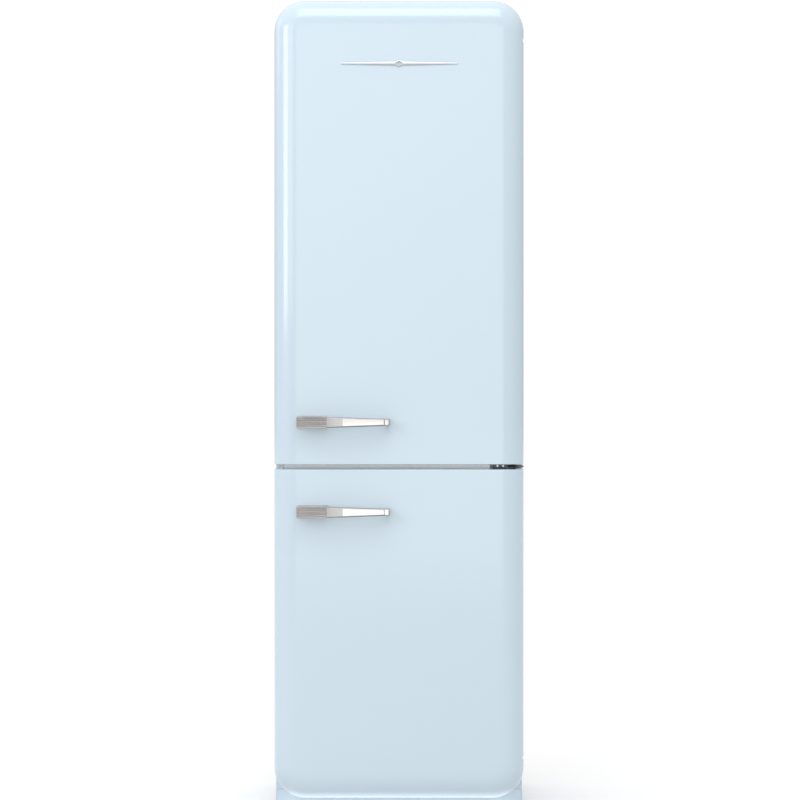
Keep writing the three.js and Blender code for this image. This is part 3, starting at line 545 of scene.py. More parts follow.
class Signal:
    """A number out of a shader socket, with the arithmetic that adds Math nodes."""

    def __init__(self, graph: "Graph", socket: bpy.types.NodeSocket) -> None:
        """Holds the socket and the graph that it belongs to."""
        self.graph = graph
        self.socket = socket

    def _math(self, operation: str, *values: "Signal | float") -> "Signal":
        """Adds one Math node.

        Args:
            operation: The Math node's operation.
            *values: What it works on.

        Returns:
            The result.
        """
        made = self.graph.node("ShaderNodeMath", {"operation": operation},
                               dict(enumerate(values)))
        return Signal(self.graph, made.outputs[0])

    def __add__(self, other: "Signal | float") -> "Signal":
        """The sum."""
        return self._math("ADD", self, other)

    __radd__ = __add__

    def __sub__(self, other: "Signal | float") -> "Signal":
        """The difference."""
        return self._math("SUBTRACT", self, other)

    def __rsub__(self, other: float) -> "Signal":
        """The difference, the other way round."""
        return self._math("SUBTRACT", other, self)

    def __mul__(self, other: "Signal | float") -> "Signal":
        """The product."""
        return self._math("MULTIPLY", self, other)

    __rmul__ = __mul__

    def above(self, low: float, high: float) -> "Signal":
        """A soft step from 0 at one value to 1 at another.

        Args:
            low: Where the step starts.
            high: Where it ends.

        Returns:
            The step.
        """
        made = self.graph.node("ShaderNodeMapRange", {"interpolation_type": "SMOOTHSTEP"},
                               {0: self, 1: low, 2: high, 3: 0.0, 4: 1.0})
        return Signal(self.graph, made.outputs[0])


class Graph:
    """A material's node tree, with the few moves that the finishes use."""

    def __init__(self, name: str) -> None:
        """Starts a material with its Principled shader.

        Args:
            name: The material's name.
        """
        self.material = bpy.data.materials.new(name)
        self.material.use_nodes = True
        self.tree = self.material.node_tree
        self.shader = self.tree.nodes["Principled BSDF"]

    def node(self, kind: str, settings: dict[str, Any] | None = None,
             inputs: dict[Any, Any] | None = None) -> bpy.types.Node:
        """Adds a node, sets it up, then fills its sockets.

        Args:
            kind: The node's type.
            settings: Its settings, made first.
            inputs: Values, signals or sockets by input name or number.

        Returns:
            The new node.
        """
        made = self.tree.nodes.new(kind)
        for key, value in (settings or {}).items():
            setattr(made, key, value)
        for key, value in (inputs or {}).items():
            self.feed(made.inputs[key], value)
        return made

    def feed(self, socket: bpy.types.NodeSocket, value: Any) -> None:
        """Links a signal to a socket, or sets the socket's value.

        Args:
            socket: The socket to fill.
            value: A signal, a socket or a plain value.
        """
        if isinstance(value, Signal):
            value = value.socket
        if isinstance(value, bpy.types.NodeSocket):
            self.tree.links.new(value, socket)
        elif isinstance(value, tuple) and len(value) == 3 and socket.type == "RGBA":
            socket.default_value = (*value, 1.0)
        else:
            socket.default_value = value

    def place(self, stretch: Triple = (1.0, 1.0, 1.0)) -> bpy.types.NodeSocket:
        """The piece's own coordinates, stretched.

        Args:
            stretch: How far the pattern is squeezed along each axis.

        Returns:
            The coordinates.
        """
        spot = self.node("ShaderNodeTexCoord")
        made = self.node("ShaderNodeMapping", {}, {"Vector": spot.outputs["Object"],
                                                   "Scale": stretch})
        return made.outputs[0]

    def along(self, axis: int) -> Signal:
        """One of the piece's own coordinates, in metres.

        Args:
            axis: The axis, 0 to 2.

        Returns:
            The coordinate.
        """
        spot = self.node("ShaderNodeTexCoord")
        made = self.node("ShaderNodeSeparateXYZ", {}, {0: spot.outputs["Object"]})
        return Signal(self, made.outputs[axis])

    def noise(self, scale: float, detail: float = 2.0,
              stretch: Triple = (1.0, 1.0, 1.0)) -> Signal:
        """Noise from 0 to 1 at a scale per metre.

        Args:
            scale: How fine the pattern is, per metre.
            detail: How many finer layers it has.
            stretch: How far the pattern is squeezed along each axis.

        Returns:
            The noise.
        """
        made = self.node("ShaderNodeTexNoise", {},
                         {"Vector": self.place(stretch), "Scale": scale, "Detail": detail})
        return Signal(self, made.outputs[0])

    def cells(self, scale: float) -> Signal:
        """A random value for each cell of a cellular pattern.

        Args:
            scale: How fine the pattern is, per metre.

        Returns:
            The random value.
        """
        made = self.node("ShaderNodeTexVoronoi", {}, {"Vector": self.place(), "Scale": scale})
        split = self.node("ShaderNodeSeparateColor", {}, {0: made.outputs["Color"]})
        return Signal(self, split.outputs[0])

    def blend(self, share: Signal, first: Any, second: Any) -> bpy.types.NodeSocket:
        """A colour between two colours."""
        made = self.node("ShaderNodeMix", {"data_type": "RGBA"}, {0: share, 6: first, 7: second})
        return made.outputs[2]

    def relief(self, height: Signal, depth: float, strength: float = 1.0) -> None:
        """Bumps the surface by a height from 0 to 1 times a depth in metres.

        Args:
            height: The height, from 0 to 1.
            depth: What a height of 1 stands for, in metres.
            strength: How strongly the relief shows.
        """
        made = self.node("ShaderNodeBump", {}, {"Height": height, "Distance": depth,
                                                "Strength": strength})
        self.feed(self.shader.inputs["Normal"], made.outputs[0])

    def set(self, **values: Any) -> None:
        """Feeds the shader's own sockets, named with underscores for spaces."""
        for key, value in values.items():
            self.feed(self.shader.inputs[key.replace("_", " ")], value)


def shade_of(colour: Triple, share: float) -> Triple:
    """A colour made lighter or darker."""
    return tuple(min(1.0, c * share) for c in colour)


# ---------------------------------------------------------------- finishes


@dataclass(frozen=True)
class Finish:
    """How a surface looks: the values that all finishes share."""

    name: str
    slot: str
    colour: Triple
    roughness: float = 0.4
    metallic: float = 0.0

    def dress(self, graph: Graph) -> None:
        """Adds the pattern: a faint cloud in colour and roughness.

        Args:
            graph: The material's graph.
        """
        cloud = graph.noise(6.0, 3.0)
        graph.set(Base_Color=graph.blend(cloud, shade_of(self.colour, 0.96),
                                         shade_of(self.colour, 1.03)),
                  Roughness=cloud * 0.08 + (self.roughness - 0.04))

    def material(self) -> bpy.types.Material:
        """The material, made once and then reused.

        Returns:
            The material.
        """
        found = bpy.data.materials.get(self.name)
        if found:
            return found
        graph = Graph(self.name)
        graph.set(Metallic=self.metallic)
        self.dress(graph)
        return graph.material


@dataclass(frozen=True)
class Enamel(Finish):
    """Gloss enamel over steel, with the faint ripple of sprayed paint."""

    coat: float = 0.7

    def dress(self, graph: Graph) -> None:
        """A clear coat, a broad drift of colour and a fine ripple.

        Args:
            graph: The material's graph.
        """
        drift = graph.noise(2.2, 2.0)
        ripple = graph.noise(240.0, 1.0)
        graph.set(Base_Color=graph.blend(drift, shade_of(self.colour, 0.994),
                                         shade_of(self.colour, 1.006)),
                  Roughness=ripple * 0.05 + (self.roughness - 0.02),
                  Coat_Weight=self.coat, Coat_Roughness=0.09, IOR=1.5)
        graph.relief(ripple, 0.00002, 0.35)


@dataclass(frozen=True)
class BrushedMetal(Finish):
    """Metal with fine lines along one axis."""

    lines: Triple = (0.02, 1.0, 1.0)
    depth: float = 0.00002

    def dress(self, graph: Graph) -> None:
        """Stretched noise in colour, roughness and relief.

        Args:
            graph: The material's graph.
        """
        grain = graph.noise(1400.0, 2.0, self.lines)
        cloud = graph.noise(9.0, 2.0)
        mixed = grain * 0.6 + cloud * 0.4
        graph.set(Base_Color=graph.blend(mixed, shade_of(self.colour, 0.88),
                                         shade_of(self.colour, 1.1)),
                  Roughness=mixed * 0.14 + (self.roughness - 0.07))
        graph.relief(grain, self.depth, 0.5)


@dataclass(frozen=True)
class Chrome(Finish):
    """Polished chrome with faint handling haze."""

    def dress(self, graph: Graph) -> None:
        """Haze in the roughness and a barely uneven casting under the plate.

        Args:
            graph: The material's graph.
        """
        haze = graph.noise(38.0, 3.0)
        graph.set(Base_Color=graph.blend(haze, shade_of(self.colour, 0.95), self.colour),
                  Roughness=haze * 0.07 + (self.roughness - 0.03))
        graph.relief(graph.noise(55.0, 1.0), 0.0001, 0.25)


@dataclass(frozen=True)
class LeverChrome(Chrome):
    """The lever bar's chrome, rougher on the short slope next to the hub, with painted shade on
    that slope's flat and painted dark reflections along its edges.
    """

    slope_start: float = 0.0
    slope_end: float = 0.0
    tip: float = 0.0
    level: float = 0.0
    flat: float = 0.01
    half: float = 0.012
    taper: float = 0.0
    edge: float = 0.0032

    def dress(self, graph: Graph) -> None:
        """Polished, with painted dark reflections along its edges and tip, and a rougher patch on
        the flat of the slope that also carries painted shade.

        Args:
            graph: The material's graph.
        """
        run, height = graph.along(0), graph.along(2)
        fade = (run - self.slope_start) * self.taper
        # Painted shade: the upper and lower edges and the tip end are painted darker, a painted
        # dark reflection along the chrome's edges.
        upper = (height + fade).above(self.level + self.half - self.edge,
                                      self.level + self.half - self.edge / 2)
        lower = 1.0 - (height - fade).above(self.level - self.half + self.edge / 2,
                                            self.level - self.half + self.edge)
        end = run.above(self.tip - self.edge, self.tip - self.edge / 2)
        clear_of_edge_shade = (1.0 - upper * 0.7) * (1.0 - lower) * (1.0 - end)
        # Painted shade: the flat of the slope is rougher and also painted darker, for the dimmer
        # reflection it catches.
        satin_shade = (run.above(self.slope_start - 0.0006, self.slope_start)
                 * (1.0 - run.above(self.slope_end - 0.0008, self.slope_end))
                 * height.above(self.level - self.flat - 0.0006, self.level - self.flat)
                 * (1.0 - height.above(self.level + self.flat, self.level + self.flat + 0.0006)))
        haze = graph.noise(38.0, 3.0)
        plate = graph.blend(satin_shade, self.colour, shade_of(self.colour, 0.84))
        graph.set(Base_Color=graph.blend(clear_of_edge_shade, shade_of(self.colour, 0.34), plate),
                  Roughness=haze * 0.05 + satin_shade * 0.22 + (self.roughness - 0.02))
        graph.relief(graph.noise(55.0, 1.0), 0.0001, 0.2)


@dataclass(frozen=True)
class ZincSheet(Finish):
    """Galvanised sheet with its flat crystals."""

    def dress(self, graph: Graph) -> None:
        """Crystals as cells of slightly different grey and gloss.

        Args:
            graph: The material's graph.
        """
        crystal = graph.cells(85.0)
        fine = graph.noise(300.0, 2.0)
        graph.set(Base_Color=graph.blend(crystal, shade_of(self.colour, 0.82),
                                         shade_of(self.colour, 1.12)),
                  Roughness=crystal * 0.18 + fine * 0.06 + (self.roughness - 0.12))
        graph.relief(fine, 0.00003, 0.4)


@dataclass(frozen=True)
class Paint(Finish):
    """Semi-matt paint with the small lumps of a dipped coat."""

    def dress(self, graph: Graph) -> None:
        """Lumps in the relief and a little dust in the colour.

        Args:
            graph: The material's graph.
        """
        lumps = graph.noise(180.0, 3.0)
        dust = graph.noise(14.0, 4.0)
        graph.set(Base_Color=graph.blend(dust.above(0.45, 0.8), self.colour,
                                         tuple(c + 0.02 for c in self.colour)),
                  Roughness=dust * 0.16 + (self.roughness - 0.08))
        graph.relief(lumps, 0.00012, 0.4)


@dataclass(frozen=True)
class Moulding(Finish):
    """Moulded plastic with a fine spark-eroded grain."""

    grain: float = 900.0
    depth: float = 0.00003

    def dress(self, graph: Graph) -> None:
        """Fine grain over a broad drift in gloss.

        Args:
            graph: The material's graph.
        """
        grain = graph.noise(self.grain, 2.0)
        drift = graph.noise(4.0, 2.0)
        graph.set(Base_Color=graph.blend(drift, shade_of(self.colour, 0.975),
                                         shade_of(self.colour, 1.01)),
                  Roughness=drift * 0.08 + grain * 0.05 + (self.roughness - 0.06))
        graph.relief(grain, self.depth, 0.5)


@dataclass(frozen=True)
class Foam(Finish):
    """Rigid foam with its open pores."""

    def dress(self, graph: Graph) -> None:
        """Pores as cells in colour and relief.

        Args:
            graph: The material's graph.
        """
        pores = graph.cells(420.0)
        cloud = graph.noise(12.0, 3.0)
        graph.set(Base_Color=graph.blend(pores * 0.5 + cloud * 0.5,
                                         shade_of(self.colour, 0.85), self.colour),
                  Roughness=cloud * 0.05 + self.roughness)
        graph.relief(pores, 0.0004, 0.6)


@dataclass(frozen=True)
class ClearSheet(Finish):
    """Clear plastic or glass: thin from the front, denser at a grazing look."""

    least: float = 0.2
    most: float = 0.7

    def dress(self, graph: Graph) -> None:
        """Alpha from the angle, with a faint flow in the gloss.

        Args:
            graph: The material's graph.
        """
        facing = graph.node("ShaderNodeLayerWeight", {}, {"Blend": 0.35})
        edge = Signal(graph, facing.outputs["Facing"])
        flow = graph.noise(7.0, 2.0)
        graph.set(Base_Color=graph.blend(flow, shade_of(self.colour, 0.97), self.colour),
                  Roughness=flow * 0.05 + self.roughness,
                  Alpha=edge * (self.most - self.least) + self.least)
        graph.relief(flow, 0.0003, 0.15)


@dataclass(frozen=True)
class Seal(Finish):
    """Soft seal rubber, matt, with fine lines along its length."""

    def dress(self, graph: Graph) -> None:
        """A dull drift and a very fine grain.

        Args:
            graph: The material's graph.
        """
        grain = graph.noise(600.0, 2.0)
        drift = graph.noise(9.0, 2.0)
        graph.set(Base_Color=graph.blend(drift, shade_of(self.colour, 0.93), self.colour),
                  Roughness=grain * 0.08 + (self.roughness - 0.04))
        graph.relief(grain, 0.00004, 0.5)


ENAMEL = Enamel("pale_blue_enamel", "door_enamel", (0.585, 0.708, 0.799), 0.16)
CHROME = Chrome("polished_chrome", "bright_chrome", (0.86, 0.85, 0.84), 0.09, 1.0)
ORNAMENT_CHROME = Chrome("satin_chrome", "bright_chrome", (0.43, 0.44, 0.47), 0.24, 1.0)
HUB_CHROME = Chrome("reeded_chrome", "bright_chrome", (0.45, 0.44, 0.43), 0.15, 1.0)
RAIL = BrushedMetal("satin_rail", "rail_metal", (0.40, 0.43, 0.46), 0.2, 1.0)
HINGE = BrushedMetal("dark_hinge_steel", "hinge_steel", (0.16, 0.18, 0.2), 0.4, 0.9)
SCREW = BrushedMetal("bright_screw_steel", "hinge_steel", (0.8, 0.81, 0.82), 0.22, 1.0)
ZINC = ZincSheet("zinc_sheet", "panel_steel", (0.55, 0.57, 0.58), 0.42, 0.85)
BLACK_PAINT = Paint("black_paint", "black_steel", (0.022, 0.023, 0.025), 0.42)
BLACK_PLASTIC = Moulding("black_moulding", "black_plastic", (0.028, 0.028, 0.03), 0.5)
LINING = Moulding("white_moulding", "white_lining", (0.83, 0.85, 0.855), 0.32)
PAD = Moulding("white_pad_moulding", "white_lining", (0.93, 0.94, 0.94), 0.14)
SEAL = Seal("seal_rubber", "seal_rubber", (0.68, 0.7, 0.7), 0.6)
FOAM = Foam("insulation_foam", "insulation", (0.8, 0.72, 0.47), 0.85)
CLEAR = ClearSheet("clear_moulding", "clear_plastic", (0.78, 0.88, 0.92), 0.1, 0.0, 0.26, 0.75)
FROST = ClearSheet("frosted_moulding", "clear_plastic", (0.86, 0.92, 0.95), 0.28, 0.0, 0.5, 0.85)
GLASS = ClearSheet("shelf_glass", "shelf_glass", (0.72, 0.88, 0.82), 0.03, 0.0, 0.16, 0.8)
FOIL = BrushedMetal("aluminium_fins", "fin_foil", (0.75, 0.76, 0.77), 0.35, 1.0)

CAD_FINISH: dict[str, Finish] = {
    "door_enamel": ENAMEL, "bright_chrome": CHROME, "rail_metal": RAIL, "hinge_steel": HINGE,
    "panel_steel": ZINC, "black_steel": BLACK_PAINT, "black_plastic": BLACK_PLASTIC,
    "white_lining": LINING, "seal_rubber": SEAL, "insulation": FOAM, "clear_plastic": CLEAR,
    "shelf_glass": GLASS, "fin_foil": FOIL,
}


def dress(piece: Piece, finish: Finish) -> None:
    """Gives a piece one finish all over.

    Args:
        piece: The piece.
        finish: Its finish.
    """
    piece.data.materials.clear()
    piece.data.materials.append(finish.material())


def fit(piece: Piece, body: str, finish: Finish, *nodes: str, smooth: float = 35.0) -> Piece:
    """Finishes a piece: its shading, its finish, the body it rides on and what it stands for.

    Args:
        piece: The modelled piece.
        body: The body that carries it.
        finish: Its finish.
        *nodes: The frame's nodes that it replaces.
        smooth: Faces that meet at less than this angle shade as one.

    Returns:
        The same piece.
    """
    activate(piece)
    bpy.ops.object.shade_smooth_by_angle(angle=math.radians(smooth))
    modify(piece, "WEIGHTED_NORMAL", keep_sharp=True, weight=50)
    dress(piece, finish)
    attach(piece, body)
    if nodes:
        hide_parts(*nodes)
    log.info("%s rides on %s, %d faces", piece.name, body, len(piece.data.polygons))
    return piece


def carry_over(node: str, name: str, body: str, finish: Finish, width: float,
               segments: int = 3, angle: float = 35.0) -> Piece:
    """A piece that keeps its node's form and gets rounded edges.

    Args:
        node: The frame's node.
        name: The piece's name.
        body: The body that carries it.
        finish: Its finish.
        width: How wide its edges are rounded.
        segments: How finely they are rounded.
        angle: Edges sharper than this many degrees are rounded.

    Returns:
        The finished piece.
    """
    return fit(soften(taken(node, name), width, segments, angle), body, finish, node)


# ---------------------------------------------------------------- doors


class Side(Enum):
    """Which end of a door is rounded."""

    TOP = 1
    BOTTOM = -1


@dataclass
class Door:
    """A thick pillow-shaped door: its skin, liner, seal and bushes."""

    name: str
    rounded: Side
    corner: float = 0.075
    roll: float = 0.062
    roll_depth: float = 0.044
    fold: float = 0.0016
    steel: float = 0.0012
    rings: int = 18
    curve: float = 2.2
    bore: float = 0.0044
    sleeve: float = 0.007
    flange: float = 0.0024
    bush: float = 0.0187
    spare: float = 0.25

    def skin(self) -> None:
        """The enamelled skin: rings of the outline that shrink as they come forward."""
        low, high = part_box(f"{self.name}_skin")
        start, end = low.copy(), high.copy()
        start.y += self.roll_depth
        if self.rounded is Side.TOP:
            start.z -= self.spare
        else:
            end.z += self.spare
        piece = block(f"{self.name}_panel", start, end)
        tip = high.z if self.rounded is Side.TOP else low.z
        split = low.z if self.rounded is Side.TOP else high.z
        with editing(piece):
            pick(piece, Part.EDGE, edges_along(1, lambda v: near(v.z, tip)))
            round_off(self.corner, 20)
            pick(piece, Part.FACE, faces_to((0, -1, 0)))
            self._roll_forward()
            pick_all()
            way = -self.rounded.value
            bpy.ops.mesh.bisect(plane_co=(0, 0, split), plane_no=(0, 0, way), use_fill=True,
                                clear_outer=True)
            pick(piece, Part.EDGE, lambda e: edges_where(lambda v: near(v.z, split))(e)
                 or edges_where(lambda v: near(v.y, high.y))(e))
            round_off(self.fold, 4)
            pick(piece, Part.FACE, lambda f: f.normal.y > 0.99 and f.calc_area() > 0.2)
            bpy.ops.mesh.delete(type="FACE")
        modify(piece, "SOLIDIFY", thickness=self.steel, offset=-1.0, use_even_offset=True)
        carve(piece, self._slot_tool(), *self._bush_tools())
        fit(piece, self.name, ENAMEL, f"{self.name}_skin", smooth=30)

    def _roll_forward(self) -> None:
        """Insets the open front face ring by ring along a soft quarter round."""
        last = (0.0, 0.0)
        for i in range(1, self.rings + 1):
            turn = math.pi / 2 * i / self.rings
            inward = self.roll * (1 - math.cos(turn) ** (2 / self.curve))
            forward = self.roll_depth * math.sin(turn) ** (2 / self.curve)
            bpy.ops.mesh.inset(thickness=inward - last[0], depth=forward - last[1],
                               use_even_offset=True)
            last = (inward, forward)
        bpy.ops.mesh.inset(thickness=0.004, depth=0.0, use_even_offset=True)

    def _slot_tool(self) -> Piece:
        """A cutter for the room that the end hinge's leaf swings in.

        Returns:
            The cutter.
        """
        end = "top" if self.rounded is Side.TOP else "bottom"
        low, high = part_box(f"{end}_hinge")
        middle = (low.z + high.z) / 2
        skin_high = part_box(f"{self.name}_skin")[1]
        up, down = (0.005, 0.006) if self.rounded is Side.TOP else (0.006, 0.005)
        return block("slot_tool", (low.x - 0.005, low.y - 0.009, middle - down),
                     (skin_high.x + 0.02, skin_high.y + 0.02, middle + up))

    def _bush_tools(self) -> list[Piece]:
        """Cutters for the holes that hold the bushes.

        Returns:
            The cutters.
        """
        tools = []
        for end in ("top", "bottom"):
            low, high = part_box(f"{self.name}_bush_{end}")
            centre = (low + high) / 2
            tools.append(drum("bush_tool", self.sleeve + 0.0003, centre,
                              high.z - low.z + 0.012, sides=32))
        return tools

    def inner(self) -> None:
        """The moulded white lining on the door's inner side."""
        carry_over(f"{self.name}_liner", f"{self.name}_lining", self.name, LINING, 0.0011)

    def seal(self) -> None:
        """The magnetic seal, with the bellows folds round its inner and outer side."""
        node = f"{self.name}_gasket"
        piece = taken(node, f"{self.name}_seal")
        low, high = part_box(node)
        middle = (low + high) / 2
        with editing(piece):
            for outward in (True, False):
                def band(face: Any, outward: bool = outward) -> bool:
                    """Whether a face is on the seal's outer or inner side.

                    Args:
                        face: The face.
                        outward: True for the outer side.

                    Returns:
                        True if it is.
                    """
                    spot = face.calc_center_median() - middle
                    flat = Vector((spot.x, 0, spot.z))
                    return abs(face.normal.y) < 0.1 and (face.normal.dot(flat) > 0) == outward
                pick(piece, Part.FACE, band)
                bpy.ops.mesh.inset(thickness=0.0024, depth=0.0, use_even_offset=True)
                bpy.ops.mesh.inset(thickness=0.0012, depth=-0.003, use_even_offset=True)
        soften(piece, 0.0006, 3, 28)
        fit(piece, self.name, SEAL, node)

    def bushes(self) -> None:
        """The two white bushes that the hinge pins turn in."""
        for end in ("top", "bottom"):
            node = f"{self.name}_bush_{end}"
            low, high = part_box(node)
            centre = (low + high) / 2
            wide = (high.x - low.x) / 2
            up = 1 if end == "bottom" else -1
            profile = [(self.bore, 0.0), (wide - 0.0006, 0.0), (wide, 0.0006), (wide, 0.0018),
                       (wide - 0.0006, self.flange), (self.sleeve, self.flange),
                       (self.sleeve, 0.0178), (0.0062, self.bush), (self.bore, self.bush),
                       (self.bore, 0.0)]
            start = low.z if up > 0 else high.z
            points = [(r, up * z) for r, z in profile]
            piece = turned(f"{self.name}_{end}_bush", points, (centre.x, centre.y, start), steps=40)
            fit(piece, self.name, LINING, node)

    def build(self) -> None:
        """Models every piece of the door."""
        self.skin()
        self.inner()
        self.seal()
        self.bushes()


@dataclass
class Handle:
    """A lever handle: a reeded hub and a tapered bar whose end stands on a foot."""

    door: str
    name: str
    nose: float = 0.014
    nose_reach: float = 0.038
    start_reach: float = 0.026
    reeds: int = 6
    reed_pitch: float = 0.0042
    reed: float = 0.0031
    crest: float = 0.039
    hub_reach: float = 0.046
    crest_reach: float = 0.05
    tip_reach: float = 0.04
    tip_half: float = 0.008
    sunk: float = 0.0003
    bar_thickness: float = 0.013
    foot: float = 0.010
    ring: float = 0.0012
    notch: float = 0.0009
    nose_taper: float = 0.0015
    proud: float = 0.0004

    def hub(self) -> None:
        """The hub: a wedge with rounded edges and reeds cut along its front."""
        low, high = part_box(f"{self.name}_hub")
        face = high.y + self.sunk
        bend = low.x + self.nose
        start = face - self.start_reach
        middle = (low.z + high.z) / 2
        piece = block(f"{self.name}_reeded_hub", (low.x, start, low.z), (bend, high.y, high.z))
        with editing(piece):
            pick(piece, Part.VERT, lambda v: near(v.co.x, bend) and near(v.co.y, start))
            bpy.ops.transform.translate(value=(0, self.start_reach - self.nose_reach, 0))
            pick(piece, Part.FACE, faces_to((1, 0, 0)))
            extrude(high.x - bend, 0, 0)
            front = face - self.nose_reach
            pick(piece, Part.VERT, lambda v: near(v.co.x, high.x) and near(v.co.y, front))
            bpy.ops.transform.translate(value=(0, low.y - front, 0))
            pick(piece, Part.VERT, lambda v: near(v.co.x, low.x) and v.co.z > middle)
            bpy.ops.transform.translate(value=(0, 0, -self.nose_taper))
            pick(piece, Part.VERT, lambda v: near(v.co.x, low.x) and v.co.z < middle)
            bpy.ops.transform.translate(value=(0, 0, self.nose_taper))
            pick(piece, Part.EDGE, lambda e: any(v.co.y < start + 1e-4 for v in e.verts)
                 and not all(near(v.co.x, high.x) for v in e.verts)
                 and not (near(e.verts[0].co.x, bend) and near(e.verts[1].co.x, bend)))
            round_off(0.0034, 5)
        rise = (self.nose_reach - self.start_reach) / self.nose
        for i in range(self.reeds):
            z = middle + (i - (self.reeds - 1) / 2) * self.reed_pitch
            carve(piece, pipe("reed", [
                (low.x - 0.006, start - self.proud + 0.006 * rise, z),
                (bend, front - self.proud, z),
                (high.x + 0.004, low.y - self.proud - 0.0005, z)], self.reed, roundness=5))
        soften(piece, 0.0003, 2, 32)
        fit(piece, self.door, HUB_CHROME, f"{self.name}_hub", smooth=28)

    def bar(self) -> None:
        """The bar: a slope up to the crest, rougher and with painted shade on its flat, then a
        polished taper down to the foot.
        """
        low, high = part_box(f"{self.name}_bar")
        face = high.y + self.sunk
        top = low.x + self.crest
        tip = high.x
        middle = (low.z + high.z) / 2
        tall = (high.z - low.z) / 2

        def reach(x: float) -> float:
            """How far the bar's front stands out at a place along it.

            Args:
                x: The place along the bar.

            Returns:
                The reach.
            """
            if x < top:
                return self.hub_reach + (self.crest_reach - self.hub_reach) * (
                    x - low.x) / self.crest
            return self.crest_reach + (self.tip_reach - self.crest_reach) * (
                x - top) / (tip - top)

        def half(x: float) -> float:
            """Half the bar's height at a place along it."""
            return tall + (self.tip_half - tall) * (x - low.x) / (tip - low.x)

        flat = face - self.hub_reach
        piece = block(f"{self.name}_lever_bar", (low.x, flat, low.z),
                      (top, flat + self.bar_thickness, high.z))
        foot_start = tip - self.foot
        spots = [foot_start - 3 * self.ring, foot_start - 2 * self.ring,
                 foot_start - self.ring, foot_start, tip]
        with editing(piece):
            for spot in spots:
                pick(piece, Part.FACE, lambda f: f.normal.x > 0.99)
                at = max(v.co.x for v in bmesh.from_edit_mesh(piece.data).verts)
                extrude(spot - at, 0, 0)
            for spot in [low.x, top, *spots]:
                pinch = self.notch if spot == spots[1] else 0.0
                for inward, behind in ((pinch, 0.0), (-pinch, self.bar_thickness)):
                    for up in (1, -1):
                        goal_y = face - reach(spot) + behind + inward
                        goal_z = middle + up * (half(spot) - pinch)
                        pick(piece, Part.VERT, lambda v: near(v.co.x, spot)
                             and (v.co.z > middle) == (up > 0)
                             and near(v.co.y, flat + behind, 1e-4))
                        bpy.ops.transform.translate(value=(
                            0, goal_y - (flat + behind), goal_z - (middle + up * tall)))
            pick(piece, Part.FACE, lambda f: f.normal.y > 0.7
                 and f.calc_center_median().x > foot_start)
            extrude(0, 0.02, 0)
            pick(piece, Part.VERT, lambda v: v.co.x > foot_start - 1e-4 and v.co.y > face - 0.02)
            bpy.ops.transform.resize(value=(1, 0, 1), center_override=(0, high.y, middle))
            pick(piece, Part.EDGE, lambda e: edges_along(0)(e) or (
                all(v.co.y < face - 0.03 for v in e.verts)
                and abs(e.verts[0].co.x - e.verts[1].co.x) > 0.02))
            round_off(0.0036, 6)
        soften(piece, 0.0006, 3, 24)
        finish = LeverChrome(f"{self.name}_chrome", "bright_chrome", (0.57, 0.555, 0.54), 0.08,
                             1.0, slope_start=low.x, slope_end=top, tip=tip, level=middle,
                             flat=0.0088, half=tall,
                             taper=(tall - self.tip_half) / (tip - low.x))
        fit(piece, self.door, finish, f"{self.name}_bar", smooth=24)

    def build(self) -> None:
        """Models hub and bar."""
        self.hub()
        self.bar()


@dataclass
class Ornament:
    """A faceted lozenge with a long pointed bar on each side."""

    door: str = "upper_door"
    facet: float = 0.0022
    rise: float = 0.0009
    peak: float = 0.0006
    root: float = 0.0046
    point: float = 0.0016
    flatness: float = 0.32

    def build(self) -> None:
        """Models the three parts and joins them."""
        low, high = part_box("door_ornament")
        middle = (low + high) / 2
        tall, deep = (high.z - low.z) / 2, high.y - low.y
        jewel = drum("door_ornament_jewel", tall, (middle.x, high.y - deep / 4, middle.z),
                     deep / 2, Axis.Y, 4)
        with editing(jewel):
            pick_all()
            bpy.ops.transform.resize(value=(2.0, 1, 1), center_override=middle)
            pick(jewel, Part.FACE, faces_to((0, -1, 0)))
            bpy.ops.mesh.inset(thickness=self.facet, depth=self.rise)
            bpy.ops.mesh.poke(offset=self.peak)
        for side in (-1, 1):
            bpy.ops.object.select_all(action="DESELECT")
            length = (high.x - middle.x) * 0.94
            bpy.ops.mesh.primitive_cone_add(
                vertices=4, radius1=self.root, radius2=self.point, depth=length,
                location=(middle.x + side * (high.x - middle.x - length / 2), middle.y, middle.z),
                rotation=(0, side * math.pi / 2, 0))
            spike = settle(bpy.context.object)
            with editing(spike):
                pick_all()
                bpy.ops.transform.resize(value=(1, self.flatness, 1), center_override=middle)
            weld(jewel, spike)
        soften(jewel, 0.00025, 2, 12)
        fit(jewel, self.door, ORNAMENT_CHROME, "door_ornament", smooth=14)


# ---------------------------------------------------------------- cabinet


